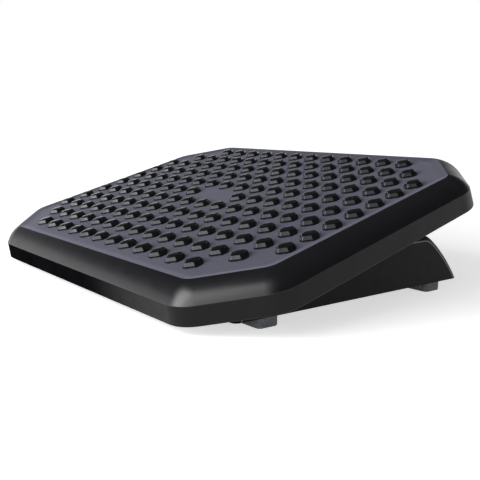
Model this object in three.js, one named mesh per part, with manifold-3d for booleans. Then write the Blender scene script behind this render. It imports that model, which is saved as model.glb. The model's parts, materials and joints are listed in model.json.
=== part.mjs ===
// A tilting footrest for use under a desk: an eight-sided moulded platform with massage bumps
// rocks on a cross axle between the two cheeks of a low base, from toes down to toes up.
// Millimetres. +X runs along the width, +Y away from the user and +Z up. The origin is on the
// floor, under the middle of the whole footrest as it stands with its rear edge raised.

import * as THREE from 'three';
import Module from 'manifold-3d';
import { mergeVertices } from 'three/addons/utils/BufferGeometryUtils.js';

// Shared clearances and modelling values
const seatGap = 0.3;            // between two pieces that seat on or turn in each other
const overrun = 1;              // how far a cutting or joining solid passes a face
const roundSteps = 16;          // sides of a shaft, bore or washer
const smallRoundSteps = 8;      // sides of a screw or small boss
const arcSteps = 3;             // straight steps in a rounded corner

// Platform outline and border, measured from the plate's upper face
const platformWidth = 448;      // along the crease between the rim and the sloping border
const platformDepth = 330;
const cornerCut = 54.7;         // leg of each cut corner, at the crease
const cornerRadius = 33.2;      // rounding between a cut corner and its neighbours
const leastCornerRadius = 1.2;
const bevelRun = 17.1;          // width of the sloping border, in plan
const bevelDrop = 13.9;         // height of the sloping border
const borderBulge = 1.9;        // how far the border swells above the straight line of its slope
const borderSteps = 4;          // straight steps across the border
const rimDraft = 1.6;           // how much further out the rim's lower edge stands than the crease
const platformHeight = 29.7;    // from the plate's face to the rim's lower edge
const plateWall = 3;
const rimWall = 3;

// Massage bumps
const bumpPitchX = 25.4;
const bumpPitchY = 25.1;
const bumpLengthX = 13.6;       // foot of one bump, along the width
const bumpLengthY = 17.5;       // foot of one bump, along the depth
const bumpHeight = 4.8;
const bumpEdgeMargin = 14;      // least way from a bump's centre to the edge of the plate
const bumpCornerMargin = 20;    // least way from a bump's centre to the edge of a cut corner
const plainColumns = 2;         // bumps left out in the middle of the middle row

// Each ring of a bump as a share of its foot and of its height, from the foot up
const bumpRingShares = [
  { size: 1, rise: 0 },
  { size: 0.9, rise: 0.7 },
  { size: 0.55, rise: 1 },
];
const bumpSides = 6;

// Ribs under the plate
const ribThickness = 2;
const ribDepth = 9;
const ribPitchX = 50.8;
const ribPitchY = 75.3;

// Tilt
const tiltLimitDegrees = 15.6;  // each way from level
const pivotBelowPlate = 47.5;   // from the plate's upper face to the axle's centre

// Base
const cheekInset = 34;          // from the platform's side to the outer face of a cheek
const archInset = 33.3;         // from the platform's front edge, when level, to the foot of the arch
const archRun = 44.6;           // from the foot of the arch to the flat crown, in plan
const cheekWidth = 33;
const cheekWall = 2.8;
const cheekEdgeRound = 5;       // rounding between a cheek's outer face and its arch
const archSteps = 7;            // straight steps in each side of the arch
const pivotAboveBase = 25;      // from the base's lower edge to the axle's centre
const panInset = 22.3;          // from the foot of the arch to the end of the floor pan
const floorPanWall = 2.6;
const panEdgeHeight = 13;       // the upright edges at the front and rear of the pan
const panRibHeight = 7;
const panRibThickness = 2.4;
const panRibPitchX = 62;

// Rubber feet
const footHeight = 8.5;
const footLength = 20;          // along the depth
const footWidth = 30;           // along the width
const footCornerRadius = 4;
const footEdgeRound = 1;
const footInset = 1.5;          // from the cheek's outer face to the foot
const footEndInset = 33.5;      // from the foot of the arch to the middle of a foot
const footPadMargin = 3;        // how far the pad in the cheek passes the foot
const footPegRadius = 4;
const footPegHeadRadius = 5.6;
const footPegHeadHeight = 2;

// Stop bumpers on the crowns of the cheeks
const bumperRadius = 6;
const bumperHeight = 3.4;       // above the crown
const bumperEdge = 4;           // from the bumper to the end of the flat crown
const bumperEdgeRound = 1.2;
const bumperStemRadius = 2.4;
const bumperStemTail = 2;       // how far the stem passes the wall of the cheek

// Axle, bushes and bearing caps
const axleRadius = 6;
const axleEndChamfer = 1;
const bushWall = 2;
const bearingThickness = 12.5;  // along the axle
const bearingHalfLength = 18;   // along the depth
const capHeight = 13;           // above the axle's centre
const capSpringing = 6;         // height at which the cap's round back begins
const capScrewInset = 5.5;      // from the bearing's end to a screw
const axleEndGap = 1;           // between the axle's end and the cheek

// Friction set between bracket and bearing
const frictionWasherRadius = 15;
const frictionWasherThickness = 2;
const discSpringRadius = 13;
const discSpringThickness = 0.8;
const discSpringDish = 1.2;

// Pivot brackets under the plate
const bracketFlangeThickness = 4;
const bracketFlangeWidth = 30;      // along the width of the footrest
const bracketFlangeLength = 52;     // along the depth
const bracketEarThickness = 5;
const bracketHubRadius = 12;
const bracketHubLength = 15;
const bracketGussetThickness = 3;
const bracketGussetReach = 25;      // from the ear's outer face, under the flange
const bossHeight = 8;               // below the plate's lower face
const bossRadius = 4.6;
const bracketScrewInsetX = 5;       // from the flange's side, or from the ear, to a screw
const bracketScrewInsetY = 8;       // from the flange's end to a screw

// Retaining rings on the axle
const ringRadius = 10;
const ringThickness = 1.2;
const ringGrooveDepth = 1.1;
const ringMouthDegrees = 70;

// Screws
const screwRadius = 1.8;
const screwHeadRadius = 3.9;
const screwHeadHeight = 2.6;
const screwLength = 12;
const screwTip = 1.4;

// Worked out from the values above
const tilt = THREE.MathUtils.degToRad(tiltLimitDegrees);
const bevelSlope = bevelDrop / bevelRun;
const bevelLength = Math.hypot(bevelRun, bevelDrop);
const baseLower = footHeight;
const pivotHeight = baseLower + pivotAboveBase;
const baseHalfLength = platformDepth / 2 - archInset;
const crownHalfLength = baseHalfLength - archRun;
const bumperY = crownHalfLength - bumperEdge - bumperRadius;
const cheekOuter = platformWidth / 2 - cheekInset;
const cheekInner = cheekOuter - cheekWidth;
const bushRadius = axleRadius + seatGap + bushWall;
const bearingInner = cheekInner - bearingThickness;
const frictionStart = bearingInner - seatGap - discSpringThickness - discSpringDish;
const bracketOuter = frictionStart - seatGap - frictionWasherThickness - seatGap;
const bracketInner = bracketOuter - bracketFlangeWidth;
const bossBottom = -plateWall - bossHeight;
const flangeTop = bossBottom - seatGap;
const flangeBottom = flangeTop - bracketFlangeThickness;
const footX = cheekOuter - footInset - footWidth / 2;
const footY = baseHalfLength - footEndInset;
const screwHoleRadius = screwRadius + seatGap;

// Heights above the base's lower edge: the far edge of a stop bumper meets the plate's lower face
// at the end of the tilt, the crown lies below it, and the arch is a circle about a middle point
// under the axle that passes through its foot and through the end of the crown
const bumperReach = bumperY + bumperRadius;
const plateBelow = pivotBelowPlate - plateWall - seatGap;
const plateAtBumper = (plateBelow - bumperReach * Math.sin(tilt)) / Math.cos(tilt);
const bumperTop = pivotAboveBase + plateAtBumper;
const cheekHeight = bumperTop - bumperHeight;
const archRise = cheekHeight ** 2 + crownHalfLength ** 2;
const archCentreDrop = (baseHalfLength ** 2 - archRise) / (2 * cheekHeight);
const archRadius = Math.hypot(baseHalfLength, archCentreDrop);

const wasm = await Module();
wasm.setup();

const blackPlastic = { color: 0x1d1e22, roughness: 0.42, metalness: 0 };
const basePlastic = { color: 0x1b1b1d, roughness: 0.5, metalness: 0 };
const rubber = { color: 0x4b4c50, roughness: 0.9, metalness: 0 };
const steel = { color: 0x9a9da1, roughness: 0.3, metalness: 1 };
const nylon = { color: 0xd9d6cb, roughness: 0.5, metalness: 0 };
const fibre = { color: 0x6a4a34, roughness: 0.85, metalness: 0 };

// Turns a closed geometry into a solid, without the triangles that a pole flattens
function solidOf(geometry) {
  const bare = new THREE.BufferGeometry();
  bare.setAttribute('position', geometry.getAttribute('position'));
  bare.setIndex(geometry.index);
  const merged = mergeVertices(bare);
  const corners = [];
  for (let i = 0; i < merged.index.count; i += 3) {
    const a = merged.index.getX(i);
    const b = merged.index.getX(i + 1);
    const c = merged.index.getX(i + 2);
    if (a !== b && b !== c && c !== a) corners.push(a, b, c);
  }
  const vertProperties = new Float32Array(merged.getAttribute('position').array);
  const triVerts = new Uint32Array(corners);
  return new wasm.Manifold(new wasm.Mesh({ numProp: 3, vertProperties, triVerts }));
}

function geometryOf(solid) {
  const mesh = solid.getMesh();
  const geometry = new THREE.BufferGeometry();
  geometry.setAttribute('position', new THREE.BufferAttribute(mesh.vertProperties, 3));
  geometry.setIndex(new THREE.BufferAttribute(mesh.triVerts, 1));
  return geometry;
}

function pieceOf(name, solid, finish) {
  const geometry = geometryOf(solid);
  geometry.computeVertexNormals();
  const mesh = new THREE.Mesh(geometry, new THREE.MeshStandardMaterial(finish));
  mesh.name = name;
  return mesh;
}

function joined(solids) {
  return solids.reduce((whole, solid) => whole.add(solid));
}

function cutBy(solid, cutters) {
  return cutters.reduce((rest, cutter) => rest.subtract(cutter), solid);
}

// A closed solid through rings with equal numbers of points, with a fan over each end.
// The rings run counter-clockwise about the way they are stacked, and the end ones are convex.
function loft(rings) {
  const count = rings[0].length;
  const last = (rings.length - 1) * count;
  const positions = [];
  const index = [];
  rings.forEach((ring) => ring.forEach((point) => positions.push(point.x, point.y, point.z)));
  for (let level = 0; level + 1 < rings.length; level += 1) {
    for (let i = 0; i < count; i += 1) {
      const a = level * count + i;
      const b = level * count + ((i + 1) % count);
      index.push(a, b, b + count, a, b + count, a + count);
    }
  }
  for (let i = 1; i + 1 < count; i += 1) {
    index.push(0, i + 1, i);
    index.push(last, last + i, last + i + 1);
  }
  const geometry = new THREE.BufferGeometry();
  geometry.setAttribute('position', new THREE.Float32BufferAttribute(positions, 3));
  geometry.setIndex(index);
  return solidOf(geometry);
}

// A box given by its lowest and highest corners
function block(low, high) {
  const size = new THREE.Vector3().subVectors(high, low);
  const geometry = new THREE.BoxGeometry(size.x, size.y, size.z);
  geometry.translate((low.x + high.x) / 2, (low.y + high.y) / 2, (low.z + high.z) / 2);
  return solidOf(geometry);
}

function at(x, y, z) {
  return new THREE.Vector3(x, y, z);
}

// A round bar that stands on z from bottom to top
function uprightBar(radius, x, y, bottom, top, sides) {
  const geometry = new THREE.CylinderGeometry(radius, radius, top - bottom, sides);
  geometry.rotateX(Math.PI / 2);
  geometry.translate(x, y, (bottom + top) / 2);
  return solidOf(geometry);
}

// A round bar along the width, centred on y and z
function crossBar(radius, from, to, y, z) {
  const geometry = new THREE.CylinderGeometry(radius, radius, to - from, roundSteps);
  geometry.rotateZ(Math.PI / 2);
  geometry.translate((from + to) / 2, y, z);
  return solidOf(geometry);
}

// A flat plate whose outline lies in y and z, from one x to another
function sidePlate(outline, from, to) {
  const geometry = new THREE.ExtrudeGeometry(new THREE.Shape(outline), {
    depth: to - from,
    bevelEnabled: false,
  });
  geometry.rotateY(Math.PI / 2);
  geometry.rotateX(Math.PI / 2);
  geometry.translate(from, 0, 0);
  return solidOf(indexed(geometry));
}

// A flat plate whose outline lies in x and z, centred on the middle plane
function uprightPlate(outline, thickness) {
  const geometry = new THREE.ExtrudeGeometry(new THREE.Shape(outline), {
    depth: thickness,
    bevelEnabled: false,
  });
  geometry.translate(0, 0, -thickness / 2);
  geometry.rotateX(Math.PI / 2);
  return solidOf(indexed(geometry));
}

function indexed(geometry) {
  const bare = new THREE.BufferGeometry();
  bare.setAttribute('position', geometry.getAttribute('position'));
  return mergeVertices(bare);
}

// A turned piece about the width axis: its profile gives x along the axis and the radius
function turnedAcross(profile, sides) {
  const points = profile.map(([x, radius]) => new THREE.Vector2(radius, x));
  const geometry = new THREE.LatheGeometry(points, sides);
  geometry.rotateZ(-Math.PI / 2);
  return solidOf(geometry);
}

// A turned upright piece: its profile gives z and the radius, from the bottom up
function turnedUpright(profile, sides) {
  const points = profile.map(([z, radius]) => new THREE.Vector2(radius, z));
  const geometry = new THREE.LatheGeometry(points, sides);
  geometry.rotateX(Math.PI / 2);
  return solidOf(geometry);
}

// The radius whose flats stay clear of a shaft of the given radius
function boreRadius(shaftRadius, sides) {
  return (shaftRadius + seatGap) / Math.cos(Math.PI / sides);
}

// The eight-sided outline at a given inset and height: straight sides joined by arcs
function platformRing(inset, z) {
  const halfWidth = platformWidth / 2 - inset;
  const halfDepth = platformDepth / 2 - inset;
  const leg = cornerCut - inset * (2 - Math.SQRT2);
  const cutDistance = (halfWidth + halfDepth - leg) / Math.SQRT2;
  const distances = [halfWidth, cutDistance, halfDepth, cutDistance];
  const radius = Math.max(cornerRadius - inset, leastCornerRadius);
  const turn = Math.PI / 4;
  const ring = [];
  for (let side = 0; side < 8; side += 1) {
    const first = side * turn;
    const near = distances[side % 4] - radius;
    const far = distances[(side + 1) % 4] - radius;
    const along = (far - near * Math.cos(turn)) / Math.sin(turn);
    const centreX = near * Math.cos(first) - along * Math.sin(first);
    const centreY = near * Math.sin(first) + along * Math.cos(first);
    for (let step = 0; step <= arcSteps; step += 1) {
      const angle = first + (turn * step) / arcSteps;
      ring.push(at(centreX + radius * Math.cos(angle), centreY + radius * Math.sin(angle), z));
    }
  }
  return ring;
}

// A ring of the border, moved straight out from the slope by the given bulge
function borderRing(inset, z, bulge) {
  const outward = (bulge * bevelDrop) / bevelLength;
  const upward = (bulge * bevelRun) / bevelLength;
  return platformRing(inset - outward, z + upward);
}

// The outer form of the platform: slightly spread rim, swelling border, plate
function platformBody() {
  const rings = [platformRing(-rimDraft, -platformHeight)];
  for (let step = 0; step <= borderSteps; step += 1) {
    const share = step / borderSteps;
    const bulge = 4 * borderBulge * share * (1 - share);
    rings.push(borderRing(bevelRun * share, -bevelDrop * (1 - share), bulge));
  }
  return loft(rings);
}

// The form that lies the given walls inside the outer form and is open at the bottom
function platformInside(sideWall, topWall) {
  const rimHeight = platformHeight - bevelDrop;
  const lowerInset = sideWall - (rimDraft * (rimHeight + overrun)) / rimHeight;
  const wallDrop = sideWall * Math.hypot(1, bevelSlope);
  const slopeAt = (inset) => -bevelDrop - wallDrop + inset * bevelSlope;
  const ceilingInset = (bevelDrop + wallDrop - topWall) / bevelSlope;
  const middleInset = (sideWall + ceilingInset) / 2;
  const rings = [
    platformRing(lowerInset, -platformHeight - overrun),
    platformRing(sideWall, slopeAt(sideWall)),
    borderRing(middleInset, slopeAt(middleInset), borderBulge),
    platformRing(ceilingInset, -topWall),
  ];
  return loft(rings);
}

// One ring of a bump: two long sides along the depth and a blunt point at each end
function bumpRing(shares, z) {
  const flatReach = Math.cos(Math.PI / bumpSides);
  const ring = [];
  for (let side = 0; side < bumpSides; side += 1) {
    const angle = ((side + 1 / 2) / bumpSides) * 2 * Math.PI;
    const x = ((bumpLengthX / 2) * shares.size * Math.cos(angle)) / flatReach;
    const y = (bumpLengthY / 2) * shares.size * Math.sin(angle);
    ring.push(at(x, y, z));
  }
  return ring;
}

function massageBump() {
  const sunk = bumpRing(bumpRingShares[0], -plateWall / 2);
  return loft([sunk, ...bumpRingShares.map((shares) => bumpRing(shares, bumpHeight * shares.rise))]);
}

// How far each bump of a row stands from the middle of the plate
function bumpLine(plateHalf, pitch) {
  const steps = Math.floor((2 * (plateHalf - bumpEdgeMargin)) / pitch);
  return Array.from({ length: steps + 1 }, (_, i) => (i - steps / 2) * pitch);
}

// Where the bumps stand: a grid that stays clear of the cut corners and of the plain middle
function bumpPlaces() {
  const plateHalfWidth = platformWidth / 2 - bevelRun;
  const plateHalfDepth = platformDepth / 2 - bevelRun;
  const leg = cornerCut - bevelRun * (2 - Math.SQRT2);
  const reach = plateHalfWidth + plateHalfDepth - leg - bumpCornerMargin * Math.SQRT2;
  const places = [];
  bumpLine(plateHalfDepth, bumpPitchY).forEach((y) => {
    bumpLine(plateHalfWidth, bumpPitchX).forEach((x) => {
      const middle = Math.abs(x) < (plainColumns * bumpPitchX) / 2 && Math.abs(y) < bumpPitchY / 2;
      if (Math.abs(x) + Math.abs(y) <= reach && !middle) places.push([x, y]);
    });
  });
  return places;
}

function bracketScrewPlaces(sign) {
  const nearX = bracketInner + bracketScrewInsetX;
  const farX = bracketOuter - bracketEarThickness - bracketScrewInsetX;
  const y = bracketFlangeLength / 2 - bracketScrewInsetY;
  return [nearX, farX].flatMap((x) => [[sign * x, -y], [sign * x, y]]);
}

// Straight ribs under the plate, left out over the cheeks and the brackets
function plateRibs() {
  const halfWidth = platformWidth / 2;
  const halfDepth = platformDepth / 2;
  const top = -plateWall / 2;
  const bottom = -plateWall - ribDepth;
  const ribs = [];
  const columns = Math.floor(cheekInner / ribPitchX);
  for (let i = -columns; i <= columns; i += 1) {
    const x = i * ribPitchX;
    ribs.push(block(
      at(x - ribThickness / 2, -halfDepth, bottom),
      at(x + ribThickness / 2, halfDepth, top),
    ));
  }
  const rows = Math.floor(halfDepth / ribPitchY);
  for (let i = -rows; i <= rows; i += 1) {
    const y = i * ribPitchY;
    ribs.push(block(
      at(-halfWidth, y - ribThickness / 2, bottom),
      at(halfWidth, y + ribThickness / 2, top),
    ));
  }
  const grid = joined(ribs).intersect(platformInside(rimWall / 2, plateWall / 2));
  const room = plateWall + seatGap;
  const clearances = [];
  [-1, 1].forEach((sign) => {
    const cheekLow = cheekInner - room;
    const cheekHigh = cheekOuter + room;
    clearances.push(block(
      at(Math.min(sign * cheekLow, sign * cheekHigh), -baseHalfLength, bottom - overrun),
      at(Math.max(sign * cheekLow, sign * cheekHigh), baseHalfLength, -plateWall),
    ));
    const flangeLow = bracketInner - room;
    const flangeReach = bracketFlangeLength / 2 + room;
    clearances.push(block(
      at(Math.min(sign * flangeLow, sign * cheekLow), -flangeReach, bottom - overrun),
      at(Math.max(sign * flangeLow, sign * cheekLow), flangeReach, -plateWall),
    ));
  });
  return cutBy(grid, clearances);
}

function platformPiece() {
  const shell = platformBody().subtract(platformInside(rimWall, plateWall));
  const bump = massageBump();
  const bumps = bumpPlaces().map(([x, y]) => bump.translate([x, y, 0]));
  const bosses = [];
  const pilotHoles = [];
  [-1, 1].forEach((sign) => bracketScrewPlaces(sign).forEach(([x, y]) => {
    const root = -plateWall / 2;
    bosses.push(uprightBar(bossRadius, x, y, bossBottom, root, smallRoundSteps));
    const holeTop = flangeBottom - seatGap + screwLength + seatGap;
    const hole = uprightBar(screwHoleRadius, x, y, bossBottom - overrun, holeTop, smallRoundSteps);
    pilotHoles.push(hole);
  }));
  const whole = joined([shell, plateRibs(), ...bosses, ...bumps]);
  return pieceOf('platform', cutBy(whole, pilotHoles), blackPlastic);
}

// Pivot bracket: a flange under the bosses, an ear down to the axle, a hub and two gussets
function pivotBracket(name, sign) {
  const pivotZ = -pivotBelowPlate;
  const halfFlange = bracketFlangeLength / 2;
  const spanOf = (a, b) => [Math.min(sign * a, sign * b), Math.max(sign * a, sign * b)];
  const [flangeFrom, flangeTo] = spanOf(bracketInner, bracketOuter);
  const flange = block(
    at(flangeFrom, -halfFlange, flangeBottom),
    at(flangeTo, halfFlange, flangeTop),
  );
  const [earFrom, earTo] = spanOf(bracketOuter - bracketEarThickness, bracketOuter);
  const earOutline = [
    new THREE.Vector2(-halfFlange, flangeBottom + bracketFlangeThickness / 2),
    new THREE.Vector2(-bracketHubRadius, pivotZ),
    new THREE.Vector2(bracketHubRadius, pivotZ),
    new THREE.Vector2(halfFlange, flangeBottom + bracketFlangeThickness / 2),
  ];
  const ear = sidePlate(earOutline, earFrom, earTo);
  const [hubFrom, hubTo] = spanOf(bracketOuter - bracketHubLength, bracketOuter);
  const hub = crossBar(bracketHubRadius, hubFrom, hubTo, 0, pivotZ);
  const gussetTop = flangeTop - bracketFlangeThickness / 2;
  const gussetOutline = [
    new THREE.Vector2(sign * bracketOuter, pivotZ),
    new THREE.Vector2(sign * bracketOuter, gussetTop),
    new THREE.Vector2(sign * (bracketOuter - bracketGussetReach), gussetTop),
    new THREE.Vector2(sign * (bracketOuter - bracketHubLength), pivotZ + bracketHubRadius),
    new THREE.Vector2(sign * (bracketOuter - bracketHubLength), pivotZ),
  ];
  const gusset = uprightPlate(
    sign > 0 ? gussetOutline : gussetOutline.reverse(), bracketGussetThickness,
  );
  const bore = crossBar(
    boreRadius(axleRadius, roundSteps), flangeFrom - overrun, flangeTo + overrun, 0, pivotZ,
  );
  const holes = bracketScrewPlaces(sign).map(([x, y]) => uprightBar(
    screwHoleRadius, x, y, flangeBottom - overrun, flangeTop + overrun, smallRoundSteps,
  ));
  return pieceOf(name, cutBy(joined([flange, ear, hub, gusset]), [bore, ...holes]), basePlastic);
}

// A pan-head screw that points up, with the underside of its head at height zero
function upwardScrew() {
  return turnedUpright([
    [-screwHeadHeight, 0],
    [-screwHeadHeight, screwHeadRadius - screwTip],
    [-screwHeadHeight + screwTip / 2, screwHeadRadius],
    [0, screwHeadRadius],
    [0, screwRadius],
    [screwLength - screwTip, screwRadius],
    [screwLength, 0],
  ], smallRoundSteps);
}

function bracketScrews(side, sign) {
  const screw = upwardScrew();
  return bracketScrewPlaces(sign).map(([x, y], i) => pieceOf(
    `${side}_bracket_screw_${i + 1}`, screw.translate([x, y, flangeBottom - seatGap]), steel,
  ));
}

// The axle turns with the platform: a round bar with a groove for each retaining ring
function axlePiece() {
  const end = cheekInner - axleEndGap;
  const grooveOuter = bracketOuter - bracketHubLength - seatGap;
  const grooveInner = grooveOuter - ringThickness - seatGap;
  const grooveRadius = axleRadius - ringGrooveDepth;
  const half = [
    [grooveInner, axleRadius],
    [grooveInner, grooveRadius],
    [grooveOuter, grooveRadius],
    [grooveOuter, axleRadius],
    [end - axleEndChamfer, axleRadius],
    [end, axleRadius - axleEndChamfer],
    [end, 0],
  ];
  const mirrored = half.map(([x, radius]) => [-x, radius]).reverse();
  const bar = turnedAcross([...mirrored, ...half], roundSteps);
  return pieceOf('axle', bar.translate([0, 0, -pivotBelowPlate]), steel);
}

// A retaining ring: a flat ring with a mouth, seated in the axle's groove
function retainingRing(name, sign) {
  const inner = axleRadius - ringGrooveDepth + seatGap;
  const outer = ringRadius;
  const mouth = THREE.MathUtils.degToRad(ringMouthDegrees);
  const from = (mouth - Math.PI) / 2;
  const to = from + 2 * Math.PI - mouth;
  const shape = new THREE.Shape();
  shape.absarc(0, -pivotBelowPlate, outer, from, to, false);
  shape.absarc(0, -pivotBelowPlate, inner, to, from, true);
  const face = bracketOuter - bracketHubLength - seatGap - seatGap / 2;
  const near = sign * face;
  const far = sign * (face - ringThickness);
  const ring = sidePlate(shape.getPoints(roundSteps / 2), Math.min(near, far), Math.max(near, far));
  return pieceOf(name, ring, steel);
}

function frictionWasher(name, sign) {
  const hole = boreRadius(axleRadius, roundSteps);
  const near = sign * (bracketOuter + seatGap);
  const far = sign * (bracketOuter + seatGap + frictionWasherThickness);
  const low = Math.min(near, far);
  const high = Math.max(near, far);
  const washer = turnedAcross([
    [low, hole],
    [low, frictionWasherRadius],
    [high, frictionWasherRadius],
    [high, hole],
    [low, hole],
  ], roundSteps);
  return pieceOf(name, washer.translate([0, 0, -pivotBelowPlate]), fibre);
}

// A dished spring washer that presses the friction washer against the bracket
function discSpring(name, sign) {
  const hole = boreRadius(axleRadius, roundSteps);
  const rimFace = frictionStart;
  const hubFace = frictionStart + discSpringDish;
  const profile = [
    [hubFace, hole],
    [rimFace, discSpringRadius],
    [rimFace + discSpringThickness, discSpringRadius],
    [hubFace + discSpringThickness, hole],
    [hubFace, hole],
  ];
  const handed = sign > 0 ? profile : profile.map(([x, radius]) => [-x, radius]).reverse();
  const spring = turnedAcross(handed, roundSteps);
  return pieceOf(name, spring.translate([0, 0, pivotHeight]), steel);
}

// The side outline of a cheek: an arch with a flat crown, on the base's lower edge
function cheekRing(inset, x, lower) {
  const radius = archRadius - inset;
  const centreZ = baseLower - archCentreDrop;
  const crownZ = baseLower + cheekHeight - inset;
  const footAngle = Math.asin((lower - centreZ) / radius);
  const crownAngle = Math.asin((crownZ - centreZ) / radius);
  const ring = [];
  for (let step = 0; step <= archSteps; step += 1) {
    const angle = footAngle + ((crownAngle - footAngle) * step) / archSteps;
    ring.push(at(x, radius * Math.cos(angle), centreZ + radius * Math.sin(angle)));
  }
  const rear = ring.map((point) => at(x, -point.y, point.z)).reverse();
  return [...ring, ...rear];
}

// A loft of cheek outlines, given for the right side and mirrored for the left
function cheekLoft(sections, sign, lower) {
  const ordered = sign > 0 ? sections : [...sections].reverse();
  return loft(ordered.map(([x, inset]) => cheekRing(inset, sign * x, lower)));
}

function cheekBody(sign) {
  const sections = [
    [cheekInner, 0],
    [cheekOuter - cheekEdgeRound, 0],
    [cheekOuter - cheekEdgeRound / 2, cheekEdgeRound / 8],
    [cheekOuter - cheekEdgeRound / 8, cheekEdgeRound / 2],
    [cheekOuter, cheekEdgeRound],
  ];
  return cheekLoft(sections, sign, baseLower);
}

function cheekHollow(sign) {
  const sections = [
    [cheekInner + cheekWall, cheekWall],
    [cheekOuter - cheekEdgeRound, cheekWall],
    [cheekOuter - cheekWall, cheekEdgeRound],
  ];
  return cheekLoft(sections, sign, baseLower - overrun);
}

function footPlaces() {
  const places = [];
  [['left', -1], ['right', 1]].forEach(([side, sign]) => {
    [['front', -1], ['rear', 1]].forEach(([end, along]) => {
      places.push({ side, end, x: sign * footX, y: along * footY });
    });
  });
  return places;
}

function bumperPlaces() {
  const x = (cheekInner + cheekOuter) / 2;
  const places = [];
  [['left', -1], ['right', 1]].forEach(([side, sign]) => {
    [['front', -1], ['rear', 1]].forEach(([end, along]) => {
      places.push({ side, end, x: sign * x, y: along * bumperY });
    });
  });
  return places;
}

function capScrewPlaces(sign) {
  const x = sign * (bearingInner + bearingThickness / 2);
  const y = bearingHalfLength - capScrewInset;
  return [[x, -y], [x, y]];
}

// The base: two hollow arched cheeks, a ribbed floor pan and a half bearing beside each cheek
function baseFrame() {
  const cheeks = [-1, 1].map((sign) => cheekBody(sign));
  const hollows = [-1, 1].map((sign) => cheekHollow(sign));
  const halfPan = baseHalfLength - panInset;
  const pan = block(
    at(-cheekInner - overrun, -halfPan, baseLower),
    at(cheekInner + overrun, halfPan, baseLower + floorPanWall),
  );
  const ribs = [];
  const ribTop = baseLower + panRibHeight;
  const edgeTop = baseLower + panEdgeHeight;
  const crossRibs = [
    [-halfPan, edgeTop],
    [-bearingHalfLength, ribTop],
    [bearingHalfLength - panRibThickness, ribTop],
    [halfPan - panRibThickness, edgeTop],
  ];
  crossRibs.forEach(([y, top]) => ribs.push(block(
    at(-cheekInner - overrun, y, baseLower),
    at(cheekInner + overrun, y + panRibThickness, top),
  )));
  const ribCount = Math.floor((cheekInner - bearingThickness) / panRibPitchX);
  for (let i = -ribCount; i <= ribCount; i += 1) {
    const x = i * panRibPitchX;
    ribs.push(block(
      at(x - panRibThickness / 2, -halfPan, baseLower),
      at(x + panRibThickness / 2, halfPan, ribTop),
    ));
  }
  const bearings = [-1, 1].map((sign) => block(
    at(Math.min(sign * bearingInner, sign * (cheekInner + overrun)), -bearingHalfLength, baseLower),
    at(Math.max(sign * bearingInner, sign * (cheekInner + overrun)), bearingHalfLength, pivotHeight),
  ));
  const pads = footPlaces().map(({ x, y }) => block(
    at(x - footWidth / 2 - footPadMargin, y - footLength / 2 - footPadMargin, baseLower),
    at(x + footWidth / 2 + footPadMargin, y + footLength / 2 + footPadMargin, baseLower + cheekWall),
  ));
  const cheekSolids = joined(cheeks);
  const padsInCheeks = joined(pads).intersect(cheekSolids);
  const shells = cutBy(cheekSolids, hollows).add(padsInCheeks);
  const whole = joined([shells, pan, ...ribs, ...bearings]);
  const saddle = crossBar(
    boreRadius(bushRadius, roundSteps), -cheekInner, cheekInner, 0, pivotHeight,
  );
  const pegHoles = footPlaces().map(({ x, y }) => uprightBar(
    boreRadius(footPegRadius, smallRoundSteps), x, y,
    baseLower - overrun, baseLower + cheekWall + overrun, smallRoundSteps,
  ));
  const crown = baseLower + cheekHeight;
  const stemHoles = bumperPlaces().map(({ x, y }) => uprightBar(
    boreRadius(bumperStemRadius, smallRoundSteps), x, y,
    crown - cheekWall - overrun, crown + overrun, smallRoundSteps,
  ));
  const screwHoles = [-1, 1].flatMap((sign) => capScrewPlaces(sign).map(([x, y]) => uprightBar(
    screwHoleRadius, x, y, pivotHeight + capSpringing - screwLength - seatGap,
    pivotHeight + overrun, smallRoundSteps,
  )));
  const cutters = [saddle, ...pegHoles, ...stemHoles, ...screwHoles];
  return pieceOf('base_frame', cutBy(whole, cutters), basePlastic);
}

function bush(name, sign) {
  const hole = boreRadius(axleRadius, roundSteps);
  const near = sign * bearingInner;
  const far = sign * (cheekInner - seatGap);
  const low = Math.min(near, far);
  const high = Math.max(near, far);
  const sleeve = turnedAcross([
    [low, hole],
    [low, hole + bushWall],
    [high, hole + bushWall],
    [high, hole],
    [low, hole],
  ], roundSteps);
  return pieceOf(name, sleeve.translate([0, 0, pivotHeight]), nylon);
}

// The upper half of a bearing: flat lugs for the screws and a round back over the bush
function bearingCap(name, sign) {
  const near = sign * bearingInner;
  const far = sign * (cheekInner - seatGap);
  const low = Math.min(near, far);
  const high = Math.max(near, far);
  const lower = pivotHeight + seatGap;
  const lugs = block(
    at(low, -bearingHalfLength, lower),
    at(high, bearingHalfLength, pivotHeight + capSpringing),
  );
  const back = crossBar(capHeight, low, high, 0, pivotHeight).intersect(block(
    at(low - overrun, -capHeight - overrun, lower),
    at(high + overrun, capHeight + overrun, pivotHeight + capHeight + overrun),
  ));
  const bore = crossBar(
    boreRadius(bushRadius, roundSteps), low - overrun, high + overrun, 0, pivotHeight,
  );
  const holes = capScrewPlaces(sign).map(([x, y]) => uprightBar(
    screwHoleRadius, x, y, lower - overrun, pivotHeight + capHeight + overrun, smallRoundSteps,
  ));
  const headRoom = capScrewPlaces(sign).map(([x, y]) => uprightBar(
    boreRadius(screwHeadRadius, smallRoundSteps), x, y,
    pivotHeight + capSpringing, pivotHeight + capHeight + overrun, smallRoundSteps,
  ));
  return pieceOf(name, cutBy(lugs.add(back), [bore, ...holes, ...headRoom]), basePlastic);
}

function capScrews(side, sign) {
  const screw = upwardScrew().rotate([180, 0, 0]);
  return capScrewPlaces(sign).map(([x, y], i) => pieceOf(
    `${side}_cap_screw_${i + 1}`,
    screw.translate([x, y, pivotHeight + capSpringing]),
    steel,
  ));
}

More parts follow.
